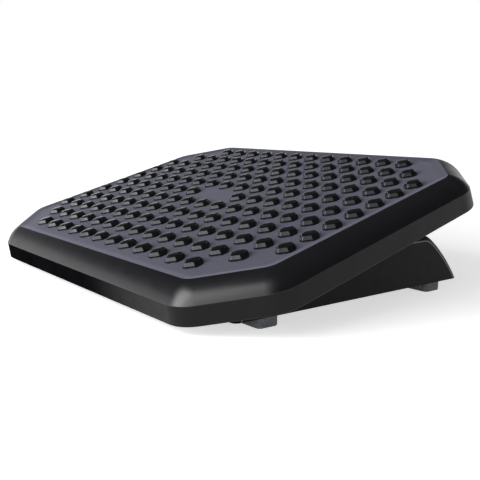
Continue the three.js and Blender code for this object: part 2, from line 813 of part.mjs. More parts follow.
function roundedRectangleRing(width, length, radius, inset, x, y, z) {
  const corner = Math.max(radius - inset, footEdgeRound);
  const reachX = width / 2 - inset - corner;
  const reachY = length / 2 - inset - corner;
  const ring = [];
  [[1, 1], [-1, 1], [-1, -1], [1, -1]].forEach(([across, along], quarter) => {
    for (let step = 0; step <= arcSteps; step += 1) {
      const angle = ((quarter + step / arcSteps) * Math.PI) / 2;
      ring.push(at(
        x + across * reachX + corner * Math.cos(angle),
        y + along * reachY + corner * Math.sin(angle),
        z,
      ));
    }
  });
  return ring;
}

// A rubber foot: a rounded block with a peg and a mushroom head through the pad of the cheek
function rubberFoot({ side, end, x, y }) {
  const ringAt = (inset, z) => (
    roundedRectangleRing(footWidth, footLength, footCornerRadius, inset, x, y, z)
  );
  const pad = loft([ringAt(footEdgeRound, 0), ringAt(0, footEdgeRound), ringAt(0, footHeight)]);
  const headBottom = baseLower + cheekWall + seatGap;
  const headTop = headBottom + footPegHeadHeight;
  const peg = uprightBar(
    footPegRadius, x, y, footHeight - footEdgeRound, headBottom + seatGap, smallRoundSteps,
  );
  const head = uprightBar(footPegHeadRadius, x, y, headBottom, headTop, smallRoundSteps);
  return pieceOf(`${end}_${side}_foot`, joined([pad, peg, head]), rubber);
}

// A rubber bumper on a stem through the crown, which stops the plate at the end of the tilt
function stopBumper({ side, end, x, y }) {
  const topZ = baseLower + bumperTop;
  const crown = baseLower + cheekHeight;
  const bumper = turnedUpright([
    [crown - cheekWall - bumperStemTail, 0],
    [crown - cheekWall - bumperStemTail, bumperStemRadius],
    [crown, bumperStemRadius],
    [crown, bumperRadius],
    [topZ - bumperEdgeRound, bumperRadius],
    [topZ, bumperRadius - bumperEdgeRound],
    [topZ, 0],
  ], roundSteps);
  return pieceOf(`${end}_${side}_stop_bumper`, bumper.translate([x, y, 0]), rubber);
}

// Pieces that tilt, built with the plate's upper face at height zero
const platformGroup = new THREE.Group();
platformGroup.add(platformPiece());
platformGroup.add(axlePiece());

// Pieces that stand on the floor
const baseGroup = new THREE.Group();
baseGroup.add(baseFrame());
footPlaces().forEach((place) => baseGroup.add(rubberFoot(place)));
bumperPlaces().forEach((place) => baseGroup.add(stopBumper(place)));

[['left', -1], ['right', 1]].forEach(([side, sign]) => {
  platformGroup.add(pivotBracket(`${side}_pivot_bracket`, sign));
  platformGroup.add(...bracketScrews(side, sign));
  platformGroup.add(retainingRing(`${side}_retaining_ring`, sign));
  platformGroup.add(frictionWasher(`${side}_friction_washer`, sign));
  baseGroup.add(discSpring(`${side}_disc_spring`, sign));
  baseGroup.add(bush(`${side}_bush`, sign));
  baseGroup.add(bearingCap(`${side}_bearing_cap`, sign));
  baseGroup.add(...capScrews(side, sign));
});

// The platform stands at its limit with the rear edge up, turned about the axle
platformGroup.position.z = pivotBelowPlate;
const tiltGroup = new THREE.Group();
tiltGroup.add(platformGroup);
tiltGroup.position.z = pivotHeight;
tiltGroup.rotation.x = tilt;

const footrest = new THREE.Group();
const assembly = new THREE.Group();
assembly.add(baseGroup, tiltGroup);
footrest.add(assembly);
footrest.updateMatrixWorld(true);
const reach = new THREE.Box3().setFromObject(footrest, true);
assembly.position.y = -(reach.min.y + reach.max.y) / 2;
footrest.updateMatrixWorld(true);

export default footrest;
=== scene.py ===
"""Looks of a tilting under desk footrest: black moulded plastic with polished massage bumps.

Metres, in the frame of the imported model: +X along the width, +Y away from the user, +Z up.
The platform's own sizes are measured from the middle of its plate's upper face with the plate
level, and tilted() carries them to where the platform stands. The base's sizes are measured
from the axle's middle plane along the depth, and based() carries them.
"""

import json
import math

import bpy
import numpy as np
from mathutils import Matrix


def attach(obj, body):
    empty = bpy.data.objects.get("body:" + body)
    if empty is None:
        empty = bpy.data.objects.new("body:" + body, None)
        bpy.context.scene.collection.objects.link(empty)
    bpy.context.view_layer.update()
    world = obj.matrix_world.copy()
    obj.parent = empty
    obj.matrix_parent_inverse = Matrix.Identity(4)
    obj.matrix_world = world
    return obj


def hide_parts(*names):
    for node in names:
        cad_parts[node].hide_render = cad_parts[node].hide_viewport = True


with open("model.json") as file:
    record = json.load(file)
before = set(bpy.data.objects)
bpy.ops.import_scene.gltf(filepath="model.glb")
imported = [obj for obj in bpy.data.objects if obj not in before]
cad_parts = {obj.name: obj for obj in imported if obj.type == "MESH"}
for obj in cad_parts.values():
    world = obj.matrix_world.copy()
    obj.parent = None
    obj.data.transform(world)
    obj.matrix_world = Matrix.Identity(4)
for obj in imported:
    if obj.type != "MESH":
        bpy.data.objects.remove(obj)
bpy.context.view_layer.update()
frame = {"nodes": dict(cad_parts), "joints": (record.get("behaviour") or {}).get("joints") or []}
tilt_joint = frame["joints"][0]
PIVOT = np.array(tilt_joint["pos_m"])
TILT = math.radians(-min(tilt_joint["range_deg"])) / 2
bumper = frame["nodes"]["front_right_stop_bumper"]
BUMPER_TOP = max((bumper.matrix_world @ vertex.co).z for vertex in bumper.data.vertices)

# Camera, as the photograph was taken: where it stands, where it looks and how long its lens is
CAMERA_PLACE = (0.57345, -0.42075, 0.15039)
CAMERA_AZIMUTH = 52.031
CAMERA_ELEVATION = 9.461
CAMERA_ROLL = 0.458
FOCAL_LENGTH_PIXELS = 701.7
PHOTO_SIDE_PIXELS = 480
SENSOR_WIDTH = 36.0
CLIP_RANGE = (0.01, 100)

# Platform
PLATFORM_WIDTH = 0.448
PLATFORM_DEPTH = 0.330
CORNER_CUT = 0.0547
CORNER_RADIUS = 0.0332
BEVEL_RUN = 0.0171
BEVEL_DROP = 0.0139
BORDER_BULGE = 0.0019
BORDER_EASE = 0.00025
EDGE_ROUND = 0.0009
PLATE_EDGE_ROUND = 0.0012
RIM_DRAFT = 0.0016
RIM_EDGE_ROUND = 0.0008
INNER_ROUND = 0.002
INNER_BORDER_ROUND = 0.012
LEAST_RADIUS = 0.0012
PLATFORM_HEIGHT = 0.0297
WALL = 0.003
PIVOT_BELOW_PLATE = 0.0475
PLATE_FIELD_INSET = 0.032
PLATE_SINK = 0.0014
COVE_RUN = 0.007
COVE_ROUND = 0.020
OUTLINE_STEPS = 12
PROFILE_STEPS = 8

# Massage bumps
BUMP_PITCH = (0.0254, 0.0251)
BUMP_HALF = (0.0077, 0.0102)
BUMP_SIDE_HALF = 0.0031
BUMP_EDGE = 0.0008
BUMP_TIP_EDGE = 0.0024
BUMP_FOOT_FILLET = 0.0004
BUMP_WALL_HEIGHT = 0.0014
BUMP_SHOULDER_HEIGHT = 0.0042
BUMP_SHOULDER_SHARES = (0.70, 0.79)
BUMP_CROWN_HEIGHT = 0.0046
BUMP_SOLE_SHARE = 0.3
BUMP_FACET_SHARES = (0.08, 0.14)
BUMP_BROW_SHARES = (0.97, 0.975)
BUMP_BROW_DIP = 0.00008
BUMP_CROWN_RINGS = [((0.88, 0.90), 0.3), ((0.45, 0.45), 0.88)]
BUMP_WALL_LEAN = 0.05
BUMP_BROW_LEAN = 0.8
BUMP_CROWN_LEANS = (0.14, 0.05)
BUMP_EDGE_MARGIN = 0.014
BUMP_CORNER_MARGIN = 0.020
PLAIN_COLUMNS = 2

# Ribs and screw bosses under the plate
RIB_THICKNESS = 0.002
RIB_DEPTH = 0.009
RIB_PITCH = (0.0508, 0.0753)
RIB_EDGE_ROUND = 0.0004
RIB_END_INSETS = (0.0045, 0.0172)
RIB_CLEARANCE = 0.0033
END_RIB_TOP = -0.0045
BOSS_HEIGHT = 0.008
BOSS_RADIUS = 0.0046

# Base
CHEEK_OUTER = 0.190
CHEEK_INNER = 0.157
CHEEK_WALL = 0.0028
CHEEK_EDGE_ROUND = 0.005
CHEEK_INNER_ROUND = 0.0006
BASE_HALF_LENGTH = 0.1317
CROWN_HALF_LENGTH = 0.0871
CHEEK_HEIGHT = 0.04429
CROWN_ROUND = 0.0008
ARCH_STEPS = 64
ARCH_SPREAD = math.pi / 2 * 0.86
SECTION_STEPS = 8
PIVOT_ABOVE_BASE = 0.025
PAN_HALF_LENGTH = 0.1094
PAN_WALL = 0.0026
PAN_EDGE_HEIGHT = 0.013
PAN_RIB_HEIGHT = 0.007
PAN_RIB_THICKNESS = 0.0024
PAN_RIB_PITCH = 0.062
MOULD_ROUND = 0.0005
BEARING_THICKNESS = 0.0125
BEARING_HALF_LENGTH = 0.018

# Feet
FOOT_HEIGHT = 0.0085
FOOT_HALF = (0.015, 0.010)
FOOT_CORNER_RADIUS = 0.004
FOOT_EDGE_ROUND = 0.001
FOOT_PLACE = (0.1735, 0.0982)
FOOT_PAD_MARGIN = 0.003
FOOT_PAD_ROUND = 0.0002
FOOT_PEG_RADIUS = 0.004
FOOT_HEAD_RADIUS = 0.0056
FOOT_HEAD_HEIGHT = 0.002

# Turned and small pieces
SEAT_GAP = 0.0003
TURNED_SIDES = 48
SMALL_SIDES = 24
ROUND_STEPS = 4
ARC_STEPS = 24
RING_STEPS = 36
AXLE_RADIUS = 0.006
BUSH_WALL = 0.002
SADDLE_RADIUS = AXLE_RADIUS + BUSH_WALL + 2 * SEAT_GAP
BRACKET_INNER = 0.1096
BRACKET_OUTER = 0.1396
EAR_THICKNESS = 0.005
FLANGE_LENGTH = 0.052
FLANGE_SCREW_INSET = (0.005, 0.008)
FLANGE_HEIGHTS = (-0.0153, -0.0113)
FLANGE_CORNER = 0.002
SCREW_HOLE = 0.0021
SCREW_RADIUS = 0.0018
SCREW_HEAD = (0.0039, 0.0026)
SCREW_HEAD_CROWN = 0.0012
SCREW_HEAD_SHARE = 0.6
SCREW_HEAD_ROUND = 0.0008
SCREW_LENGTH = 0.012
SCREW_TIP = 0.0014
SCREW_TIP_SHARE = 0.3
BORE_RADIUS = 0.0063
AXLE_END = 0.156
AXLE_CHAMFER = 0.001
AXLE_GROOVES = (0.1228, 0.1243)
GROOVE_RADIUS = 0.0049
HUB_RADIUS = 0.012
HUB_LENGTH = 0.015
GUSSET_REACH = 0.025
GUSSET_HALF = 0.0015
GUSSET_OVERLAP = (0.002, 0.001)
RING_SPAN = (0.12295, 0.12415)
RING_RADII = (0.0052, 0.010)
RING_MOUTH = math.radians(70)
WASHER_SPAN = (0.1399, 0.1419)
WASHER_RADIUS = 0.015
SPRING_START = 0.1422
SPRING_THICKNESS = 0.0008
SPRING_DISH = 0.0012
SPRING_RADIUS = 0.013
BEARING_SPAN = (0.1445, 0.1567)
CAP_LUG_HEIGHT = 0.006
CAP_RADIUS = 0.013
CAP_FLAT = 0.0083
CAP_SCREW_PLACE = (0.15075, 0.0125)
BUMPER_PLACE = (0.1735, 0.0771)
BUMPER_RADIUS = 0.006
BUMPER_TOP_ROUND = 0.0012
STEM_RADIUS = 0.0024
STEM_TAIL = 0.0048
FINE_ROUND = 0.00025

# Axes by their numbers, then the finishes of the platform and those of the base
X, Y, Z = range(3)
BORDER, PLATE, BUMP, INSIDE, RIM = range(5)
MOULDED, PAINTED_HIGHLIGHT = range(2)

# Front and rear, left and right, and the side of zero on which each lies
ENDS = (("front", -1), ("rear", 1))
SIDES = (("left", -1), ("right", 1))

# Merging: points that agree to a micrometre are one
GRID_PER_METRE = 1e6
LEAST_LENGTH = 1e-12


# Where things stand
def tilted(points):
    """Platform points, turned about the axle by the tilt at which the platform stands."""
    return PIVOT + turned_back(np.asarray(points, float) + (0, 0, PIVOT_BELOW_PLATE))


def turned_back(vectors):
    """Directions of the platform, turned about the width by the tilt."""
    x, y, z = np.moveaxis(np.asarray(vectors, float), -1, 0)
    across = y * math.cos(TILT) - z * math.sin(TILT)
    up = y * math.sin(TILT) + z * math.cos(TILT)
    return np.stack([x, across, up], -1)


def based(points):
    """Base points: depth is measured from the axle, height from the floor."""
    return np.asarray(points, float) + (0, PIVOT[1], 0)


def handed(span, side):
    """A span along the width, on the left or the right, lower end first."""
    return sorted(side * end for end in span)


# Surfaces: a patch is its points, its normals, its faces and the number of its finish
def unit(vectors):
    """The same directions, each one long."""
    length = np.linalg.norm(vectors, axis=-1, keepdims=True)
    return vectors / np.maximum(length, LEAST_LENGTH)


def rounded(corners, radii, steps=ROUND_STEPS, closed=False):
    """A line through corners, each turned into an arc of its own radius: the arc of radius r at a
    corner that turns by t begins r tan(t / 2) before it. Gives points and travel directions."""
    corners = np.asarray(corners, float)
    radii = np.broadcast_to(radii, len(corners))
    points, directions = [], []
    for i, corner in enumerate(corners):
        come = unit(corner - corners[i - 1])
        go = unit(corners[(i + 1) % len(corners)] - corner)
        if not closed and i in (0, len(corners) - 1):
            points.append(corner[None])
            directions.append((go if i == 0 else come)[None])
            continue
        turn = math.atan2(come[0] * go[1] - come[1] * go[0], come @ go)
        if radii[i] == 0:
            points.append(np.stack([corner, corner]))
            directions.append(np.stack([come, go]))
            continue
        side = math.copysign(1, turn)
        angles = math.atan2(come[1], come[0]) + turn * np.linspace(0, 1, steps + 1)
        along = np.stack([np.cos(angles), np.sin(angles)], -1)
        left = np.array([-come[1], come[0]])
        start = corner - come * radii[i] * math.tan(abs(turn) / 2)
        centre = start + side * radii[i] * left
        points.append(centre - side * radii[i] * np.stack([-along[:, 1], along[:, 0]], -1))
        directions.append(along)
    return np.concatenate(points), np.concatenate(directions)


def patch(points, normals, wrap_rows=False, wrap_columns=False, finish=0):
    """A grid of points, which may close on itself either way. Its faces are turned to the side that
    the normals point to on average."""
    rows, columns = points.shape[:2]
    r = np.arange(rows if wrap_rows else rows - 1)
    c = np.arange(columns if wrap_columns else columns - 1)
    r, c = np.meshgrid(r, c, indexing="ij")
    r_next, c_next = (r + 1) % rows, (c + 1) % columns
    cells = [r * columns + c, r_next * columns + c, r_next * columns + c_next, r * columns + c_next]
    faces = np.stack(cells, -1).reshape(-1, 4)
    flat, outward = points.reshape(-1, 3), unit(normals.reshape(-1, 3))
    middle = flat[faces]
    facing = np.cross(middle[:, 2] - middle[:, 0], middle[:, 3] - middle[:, 1])
    if np.sum(facing * outward[faces].sum(1)) < 0:
        faces = faces[:, ::-1]
    return [(flat, outward, faces, finish)]


def lid(loop, outward, finish=0):
    """One flat face over a loop of points, turned to the side that outward points to."""
    arms = loop - loop.mean(0)
    area = np.cross(arms, np.roll(arms, -1, 0)).sum(0)
    order = np.arange(len(loop))
    if area @ outward < 0:
        order, area = order[::-1], -area
    return loop, np.tile(unit(area), (len(loop), 1)), order[None], finish


def placed(patches, place, turn=np.asarray):
    """The patches with their points carried by place, and their normals by turn."""
    return [(place(points), turn(normals), faces, finish)
            for points, normals, faces, finish in patches]


def linked(name, data):
    """A new object in the scene."""
    made = bpy.data.objects.new(name, data)
    bpy.context.scene.collection.objects.link(made)
    return made


def aim(made, place, right, back):
    """Sets an object down at a place, with its back and its right in the directions given."""
    matrix = np.eye(4)
    matrix[:3, :3] = np.stack([right, np.cross(back, right), back], -1)
    matrix[:3, 3] = place
    made.matrix_world = Matrix(matrix)


def build(name, patches, finishes, body, replaced):
    """One mesh from patches: points that meet are merged, every corner keeps its own normal, and a
    cell that a pole has flattened becomes a triangle."""
    starts = np.cumsum([0] + [len(points) for points, *_ in patches])
    points = np.concatenate([points for points, *_ in patches])
    normals = np.concatenate([normals for _, normals, *_ in patches])
    _, kept, back = np.unique(np.round(points * GRID_PER_METRE).astype(np.int64), axis=0,
                              return_index=True, return_inverse=True)
    back = back.reshape(-1)
    polygons, indices = [], []
    for start, (_, _, faces, finish) in zip(starts, patches):
        faces = faces + start
        merged = back[faces]
        if faces.shape[1] == 4:
            whole = (merged != np.roll(merged, 1, 1)).all(1)
            whole &= (merged[:, :2] != merged[:, 2:]).all(1)
            halves = np.concatenate([faces[~whole][:, [0, 1, 2]], faces[~whole][:, [0, 2, 3]]])
            merged = back[halves]
            groups = [faces[whole], halves[(merged != np.roll(merged, 1, 1)).all(1)]]
        else:
            kept_corners = merged != np.roll(merged, 1, 1)
            groups = [face[None, outline] for face, outline in zip(faces, kept_corners)]
        for group in groups:
            polygons.extend(group.tolist())
            indices.extend([finish] * len(group))
    corners = np.concatenate([np.asarray(polygon) for polygon in polygons])
    mesh = bpy.data.meshes.new(name)
    mesh.from_pydata(points[kept].tolist(), [], [back[polygon].tolist() for polygon in polygons])
    mesh.polygons.foreach_set("material_index", indices)
    mesh.polygons.foreach_set("use_smooth", np.ones(len(polygons), bool))
    for finish in finishes:
        mesh.materials.append(finish.material)
    mesh.normals_split_custom_set(normals[corners].tolist())
    piece = linked(name, mesh)
    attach(piece, body)
    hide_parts(*replaced)


# Outlines, and two ways to carry them: round an axis, or straight between two ends
def end_lids(points, axis, finish):
    """Flat faces over the first and last row, square to the axis."""
    outward = np.eye(3)[axis]
    return [lid(points[0], -outward, finish), lid(points[-1], outward, finish)]


def turned(corners, radii, sides=TURNED_SIDES, closed=False, axis=Z, finish=0):
    """A profile of distance along an axis and radius, carried round that axis. An open profile is
    closed by a flat face over its first and last ring."""
    line, way = rounded(corners, radii, closed=closed)
    angle = np.linspace(0, 2 * math.pi, sides, endpoint=False)
    ring = np.stack([np.cos(angle), np.sin(angle)], -1)
    points = np.zeros((len(line), sides, 3))
    normals = np.zeros_like(points)
    first, second = [i for i in (X, Y, Z) if i != axis]
    points[..., axis] = line[:, 0, None]
    points[..., first] = line[:, 1, None] * ring[:, 0]
    points[..., second] = line[:, 1, None] * ring[:, 1]
    normals[..., axis] = -way[:, 1, None]
    normals[..., first] = way[:, 0, None] * ring[:, 0]
    normals[..., second] = way[:, 0, None] * ring[:, 1]
    parts = patch(points, normals, closed, True, finish)
    return parts if closed else parts + end_lids(points, axis, finish)


def slab(corners, radii, low, high, edge_round=MOULD_ROUND, axis=Z, finish=0):
    """A flat outline carried from low to high along an axis, with both edges rounded: over the
    quarter turn f the outline draws in by r (1 - sin f) and stands r (1 - cos f) from the end."""
    line, way = rounded(corners, radii, closed=True)
    spin = np.sum(line[:, 0] * np.roll(line[:, 1], -1) - line[:, 1] * np.roll(line[:, 0], -1))
    outward = np.stack([way[:, 1], -way[:, 0]], -1) * (1 if spin > 0 else -1)
    quarter = np.linspace(0, math.pi / 2, ROUND_STEPS)
    draw = edge_round * (1 - np.sin(quarter))
    stand = edge_round * (1 - np.cos(quarter))
    inset = np.concatenate([draw, draw[::-1]])
    along = np.concatenate([low + stand, high - stand[::-1]])
    lean = np.concatenate([-np.cos(quarter), np.cos(quarter[::-1])])
    level = np.concatenate([np.sin(quarter), np.sin(quarter[::-1])])
    first, second = [i for i in (X, Y, Z) if i != axis]
    points = np.zeros((len(along), len(line), 3))
    normals = np.zeros_like(points)
    outline = line - inset[:, None, None] * outward
    points[..., first], points[..., second] = outline[..., 0], outline[..., 1]
    points[..., axis] = along[:, None]
    normals[..., first] = level[:, None] * outward[:, 0]
    normals[..., second] = level[:, None] * outward[:, 1]
    normals[..., axis] = lean[:, None]
    return patch(points, normals, False, True, finish) + end_lids(points, axis, finish)


def rectangle(left, low, right, high):
    """Four corners, anticlockwise from the lower left."""
    return [(left, low), (right, low), (right, high), (left, high)]


def arc(radius, first, last, steps=ARC_STEPS):
    """Points on a circle, from one angle to another."""
    angle = np.linspace(first, last, steps + 1)
    return (radius * np.stack([np.cos(angle), np.sin(angle)], -1)).tolist()


# Platform
def outline_rings(insets):
    """The eight-sided outline drawn in by each inset: straight sides at their distances from the
    middle, joined by arcs. Gives the rings and the outward directions, which all rings share."""
    inset = np.asarray(insets, float)[:, None]
    half_width, half_depth = PLATFORM_WIDTH / 2 - inset, PLATFORM_DEPTH / 2 - inset
    leg = CORNER_CUT - inset * (2 - math.sqrt(2))
    cut = (half_width + half_depth - leg) / math.sqrt(2)
    distances = np.concatenate([half_width, cut, half_depth, cut] * 2, 1)
    radius = np.maximum(CORNER_RADIUS - inset, LEAST_RADIUS)
    turn = math.pi / 4
    first = np.arange(8) * turn
    near, far = distances - radius, np.roll(distances, -1, 1) - radius
    along = (far - near * math.cos(turn)) / math.sin(turn)
    centre_x = near * np.cos(first) - along * np.sin(first)
    centre_y = near * np.sin(first) + along * np.cos(first)
    angle = first[:, None] + turn * np.linspace(0, 1, OUTLINE_STEPS + 1)
    out = np.stack([np.cos(angle), np.sin(angle)], -1)
    centres = np.stack([centre_x, centre_y], -1)[:, :, None]
    rings = centres + radius[:, :, None, None] * out
    return rings.reshape(len(inset), -1, 2), out.reshape(-1, 2)


def border_peak():
    """Where the tangents at both ends of the border's arc meet, and the radius of the arc that
    swells by the bulge above its chord and stops a little short of both creases."""
    chord = math.hypot(BEVEL_RUN, BEVEL_DROP)
    radius = (chord ** 2 / 4 + BORDER_BULGE ** 2) / (2 * BORDER_BULGE)
    half = math.asin(chord / (2 * radius))
    fall = math.atan2(BEVEL_DROP, BEVEL_RUN) - half
    reach = radius * math.tan(half)
    peak = (-BEVEL_RUN + reach * math.cos(fall), -reach * math.sin(fall))
    return peak, (reach - BORDER_EASE) / math.tan(half)


def platform_shell():
    """The outer form from the plate down the swelling border and the rim, round its lower edge and
    back up one wall inside: a profile of inset and height carried round the outline."""
    slope = BEVEL_DROP / BEVEL_RUN
    chord = math.hypot(BEVEL_RUN, BEVEL_DROP)
    under = BEVEL_DROP + WALL * math.hypot(1, slope)
    ceiling_inset = (under - WALL) / slope
    middle = (WALL + ceiling_inset) / 2
    peak, border_round = border_peak()
    corners = [
        (-PLATE_FIELD_INSET, -PLATE_SINK),
        (-BEVEL_RUN - COVE_RUN, -PLATE_SINK),
        (-BEVEL_RUN, 0),
        peak,
        (0, -BEVEL_DROP),
        (RIM_DRAFT, -PLATFORM_HEIGHT),
        (RIM_DRAFT - WALL, -PLATFORM_HEIGHT),
        (-WALL, -under + WALL * slope),
        (-middle + BORDER_BULGE * BEVEL_DROP / chord,
         -under + middle * slope + BORDER_BULGE * BEVEL_RUN / chord),
        (-ceiling_inset, -WALL),
        (-PLATE_FIELD_INSET, -WALL),
    ]
    radii = [0, COVE_ROUND, PLATE_EDGE_ROUND, border_round, EDGE_ROUND, RIM_EDGE_ROUND,
             RIM_EDGE_ROUND, INNER_ROUND, INNER_BORDER_ROUND, INNER_ROUND, 0]
    line, way = rounded(corners, radii, PROFILE_STEPS)
    rings, out = outline_rings(-line[:, 0])
    height = np.broadcast_to(line[:, 1, None, None], rings.shape[:2] + (1,))
    points = np.concatenate([rings, height], -1)
    normals = np.empty_like(points)
    normals[..., :2] = -way[:, 1, None, None] * out
    normals[..., Z] = way[:, 0, None]
    shells = []
    # The first corner is one point, and every rounded one is an arc of points
    count = PROFILE_STEPS + 1
    plate_end, inner_start = 1 + count + PROFILE_STEPS // 2, 1 + 6 * count
    rim_start = 4 * count
    spans = [(0, plate_end + 1, PLATE), (plate_end, rim_start + 1, BORDER),
             (rim_start, inner_start, RIM), (inner_start - 1, len(line), INSIDE)]
    for start, stop, finish in spans:
        shells += patch(points[start:stop], normals[start:stop], False, True, finish)
    up = np.array((0, 0, 1))
    return [*shells, lid(points[0], up, PLATE), lid(points[-1], -up, INSIDE)]


def bump_places():
    """A grid that stays clear of the cut corners and of the plain middle."""
    half_width, half_depth = PLATFORM_WIDTH / 2 - BEVEL_RUN, PLATFORM_DEPTH / 2 - BEVEL_RUN
    leg = CORNER_CUT - BEVEL_RUN * (2 - math.sqrt(2))
    reach = half_width + half_depth - leg - BUMP_CORNER_MARGIN * math.sqrt(2)
    lines = []
    for half, pitch in zip((half_width, half_depth), BUMP_PITCH):
        steps = math.floor(2 * (half - BUMP_EDGE_MARGIN) / pitch)
        lines.append((np.arange(steps + 1) - steps / 2) * pitch)
    x, y = np.meshgrid(*lines)
    plain = (abs(x) < PLAIN_COLUMNS * BUMP_PITCH[0] / 2) & (abs(y) < BUMP_PITCH[1] / 2)
    kept = (abs(x) + abs(y) <= reach) & ~plain
    return x[kept], y[kept]


def bump_ring(shares, height, out=0.0):
    """Twelve points, two beside each corner of the six-sided plan, and the direction along the side
    on which each lies. out moves them straight away from their sides."""
    (a, b), c = BUMP_HALF, BUMP_SIDE_HALF
    plan = np.array([(a, -c), (a, c), (0, b), (-a, c), (-a, -c), (0, -b)]) * shares
    ahead = unit(np.roll(plan, -1, 0) - plan)
    behind = np.roll(ahead, 1, 0)
    edge = np.where(plan[:, :1] == 0, BUMP_TIP_EDGE, BUMP_EDGE) * np.mean(shares)
    points = np.stack([plan - edge * behind, plan + edge * ahead], 1).reshape(-1, 2)
    along = np.stack([behind, ahead], 1).reshape(-1, 2)
    away = np.stack([along[:, 1], -along[:, 0]], -1)
    flat = np.concatenate([points + out * away, np.full((len(points), 1), height)], -1)
    return flat, np.pad(along, ((0, 0), (0, 1))), np.pad(away, ((0, 0), (0, 1)))


def massage_bumps():
    """Six-sided domes: a low upright wall, sloping facets up to a shoulder and a flatter crown.
    Rows run up these rings and columns round a ring's twelve points, so that every facet keeps
    its own normal and the edges between them are rounded."""
    foot, along, away = bump_ring(1, 0, BUMP_FOOT_FILLET)
    sole = bump_ring(1, BUMP_WALL_HEIGHT * BUMP_SOLE_SHARE)[0]
    wall = bump_ring(1, BUMP_WALL_HEIGHT)[0]
    shoulder = bump_ring(np.array(BUMP_SHOULDER_SHARES), BUMP_SHOULDER_HEIGHT)[0]
    slope = unit(np.cross(along, shoulder - wall))
    up = np.tile((0.0, 0.0, 1.0), (len(foot), 1))
    steep = unit(away - BUMP_WALL_LEAN * up)
    start = wall + (shoulder - wall) * BUMP_FACET_SHARES[0]
    ease = shoulder + (wall - shoulder) * BUMP_FACET_SHARES[1]
    rise = BUMP_CROWN_HEIGHT - BUMP_SHOULDER_HEIGHT
    brow = shoulder * (*BUMP_BROW_SHARES, 1) - up * BUMP_BROW_DIP
    rounds = [shoulder * (*shares, 1) + up * rise * lift for shares, lift in BUMP_CROWN_RINGS]
    peak = up * BUMP_CROWN_HEIGHT
    points = np.stack([foot, sole, wall, start, ease, brow, *rounds, peak])
    turning = [unit(slope * lean + up) for lean in BUMP_CROWN_LEANS]
    over_brow = unit(slope + BUMP_BROW_LEAN * up)
    normals = np.stack([up, steep, steep, slope, slope, over_brow, *turning, up])
    bumps = []
    for x, y in zip(*bump_places()):
        bumps += patch(points + (x, y, -PLATE_SINK), normals, False, True, BUMP)
    return bumps


def rib_ends(reach, height):
    """How far a rib runs: it ends in the middle of the sloping wall, further out lower down."""
    return reach - np.interp(height, [-WALL - RIB_DEPTH, -WALL], RIB_END_INSETS)


def plate_ribs():
    """Straight ribs, left out over the cheeks and the brackets."""
    bottom, top = -WALL - RIB_DEPTH, -WALL / 2
    half = RIB_THICKNESS / 2
    side_low, side_high = CHEEK_INNER - RIB_CLEARANCE, CHEEK_OUTER + RIB_CLEARANCE
    flange_low, flange_reach = BRACKET_INNER - RIB_CLEARANCE, FLANGE_LENGTH / 2 + RIB_CLEARANCE
    ribs = []

    def rib(axis, place, start, stop, top=top):
        """A rib square to an axis. start and stop hold its lower and its upper end."""
        outline = [(start[0], bottom), (stop[0], bottom), (stop[1], top), (start[1], top)]
        sides = (place - half, place + half)
        ribs.extend(slab(outline, RIB_EDGE_ROUND, *sides, RIB_EDGE_ROUND, axis, INSIDE))

    ends_x = rib_ends(PLATFORM_WIDTH / 2, (bottom, top))
    ends_y = rib_ends(PLATFORM_DEPTH / 2, (bottom, top))
    columns = int(CHEEK_INNER // RIB_PITCH[0])
    for column in range(-columns, columns + 1):
        x = column * RIB_PITCH[0]
        if abs(x) > flange_low:
            rib(X, x, -ends_y, (-flange_reach,) * 2)
            rib(X, x, (flange_reach,) * 2, ends_y)
        else:
            rib(X, x, -ends_y, ends_y)
    for row, inner in ((0, flange_low), (1, side_low), (-1, side_low)):
        y = row * RIB_PITCH[1]
        rib(Y, y, (-inner,) * 2, (inner,) * 2)
        rib(Y, y, -ends_x, (-side_high,) * 2)
        rib(Y, y, (side_high,) * 2, ends_x)
    for y in (-2 * RIB_PITCH[1], 2 * RIB_PITCH[1]):
        corner = PLATFORM_WIDTH / 2 + PLATFORM_DEPTH / 2 - CORNER_CUT - abs(y)
        ends = corner - np.array(RIB_END_INSETS) * math.sqrt(2)
        rib(Y, y, -ends, ends, END_RIB_TOP)
    return ribs


def bracket_screw_places():
    """Where four screws pass through a flange, on the right."""
    near = BRACKET_INNER + FLANGE_SCREW_INSET[0]
    far = BRACKET_OUTER - EAR_THICKNESS - FLANGE_SCREW_INSET[0]
    y = FLANGE_LENGTH / 2 - FLANGE_SCREW_INSET[1]
    return [(x, side * y) for x in (near, far) for side in (-1, 1)]


def screw_bosses():
    """Round bosses with a pilot hole, turned about their own middle lines."""
    bottom, top = -WALL - BOSS_HEIGHT, -WALL / 2
    profile = [(top, SCREW_HOLE), (bottom, SCREW_HOLE), (bottom, BOSS_RADIUS),
               (top, BOSS_RADIUS + MOULD_ROUND)]
    boss = turned(profile, [0, MOULD_ROUND / 2, MOULD_ROUND, 0], SMALL_SIDES, finish=INSIDE)[:1]
    bosses = []
    for side in (-1, 1):
        for x, y in bracket_screw_places():
            bosses += placed(boss, lambda points: points + (side * x, y, 0))
    return bosses


# Cheeks of the base
def arch_circle():
    """How far below the base's lower edge the arch's circle has its middle, and its radius."""
    across = BASE_HALF_LENGTH ** 2 - CHEEK_HEIGHT ** 2 - CROWN_HALF_LENGTH ** 2
    drop = across / (2 * CHEEK_HEIGHT)
    return drop, math.hypot(BASE_HALF_LENGTH, drop)


def arch_height(y, inset):
    """The lesser of the arch's circle and the flat crown, each drawn in by the inset, with the
    corner where they meet eased by a parabola."""
    drop, radius = arch_circle()
    circle = -drop + np.sqrt(np.maximum((radius - inset) ** 2 - y ** 2, 0))
    crown = CHEEK_HEIGHT - inset
    overlap = np.maximum(1 - abs(circle - crown) / (4 * CROWN_ROUND), 0)
    return np.minimum(circle, crown) - overlap ** 2 * CROWN_ROUND


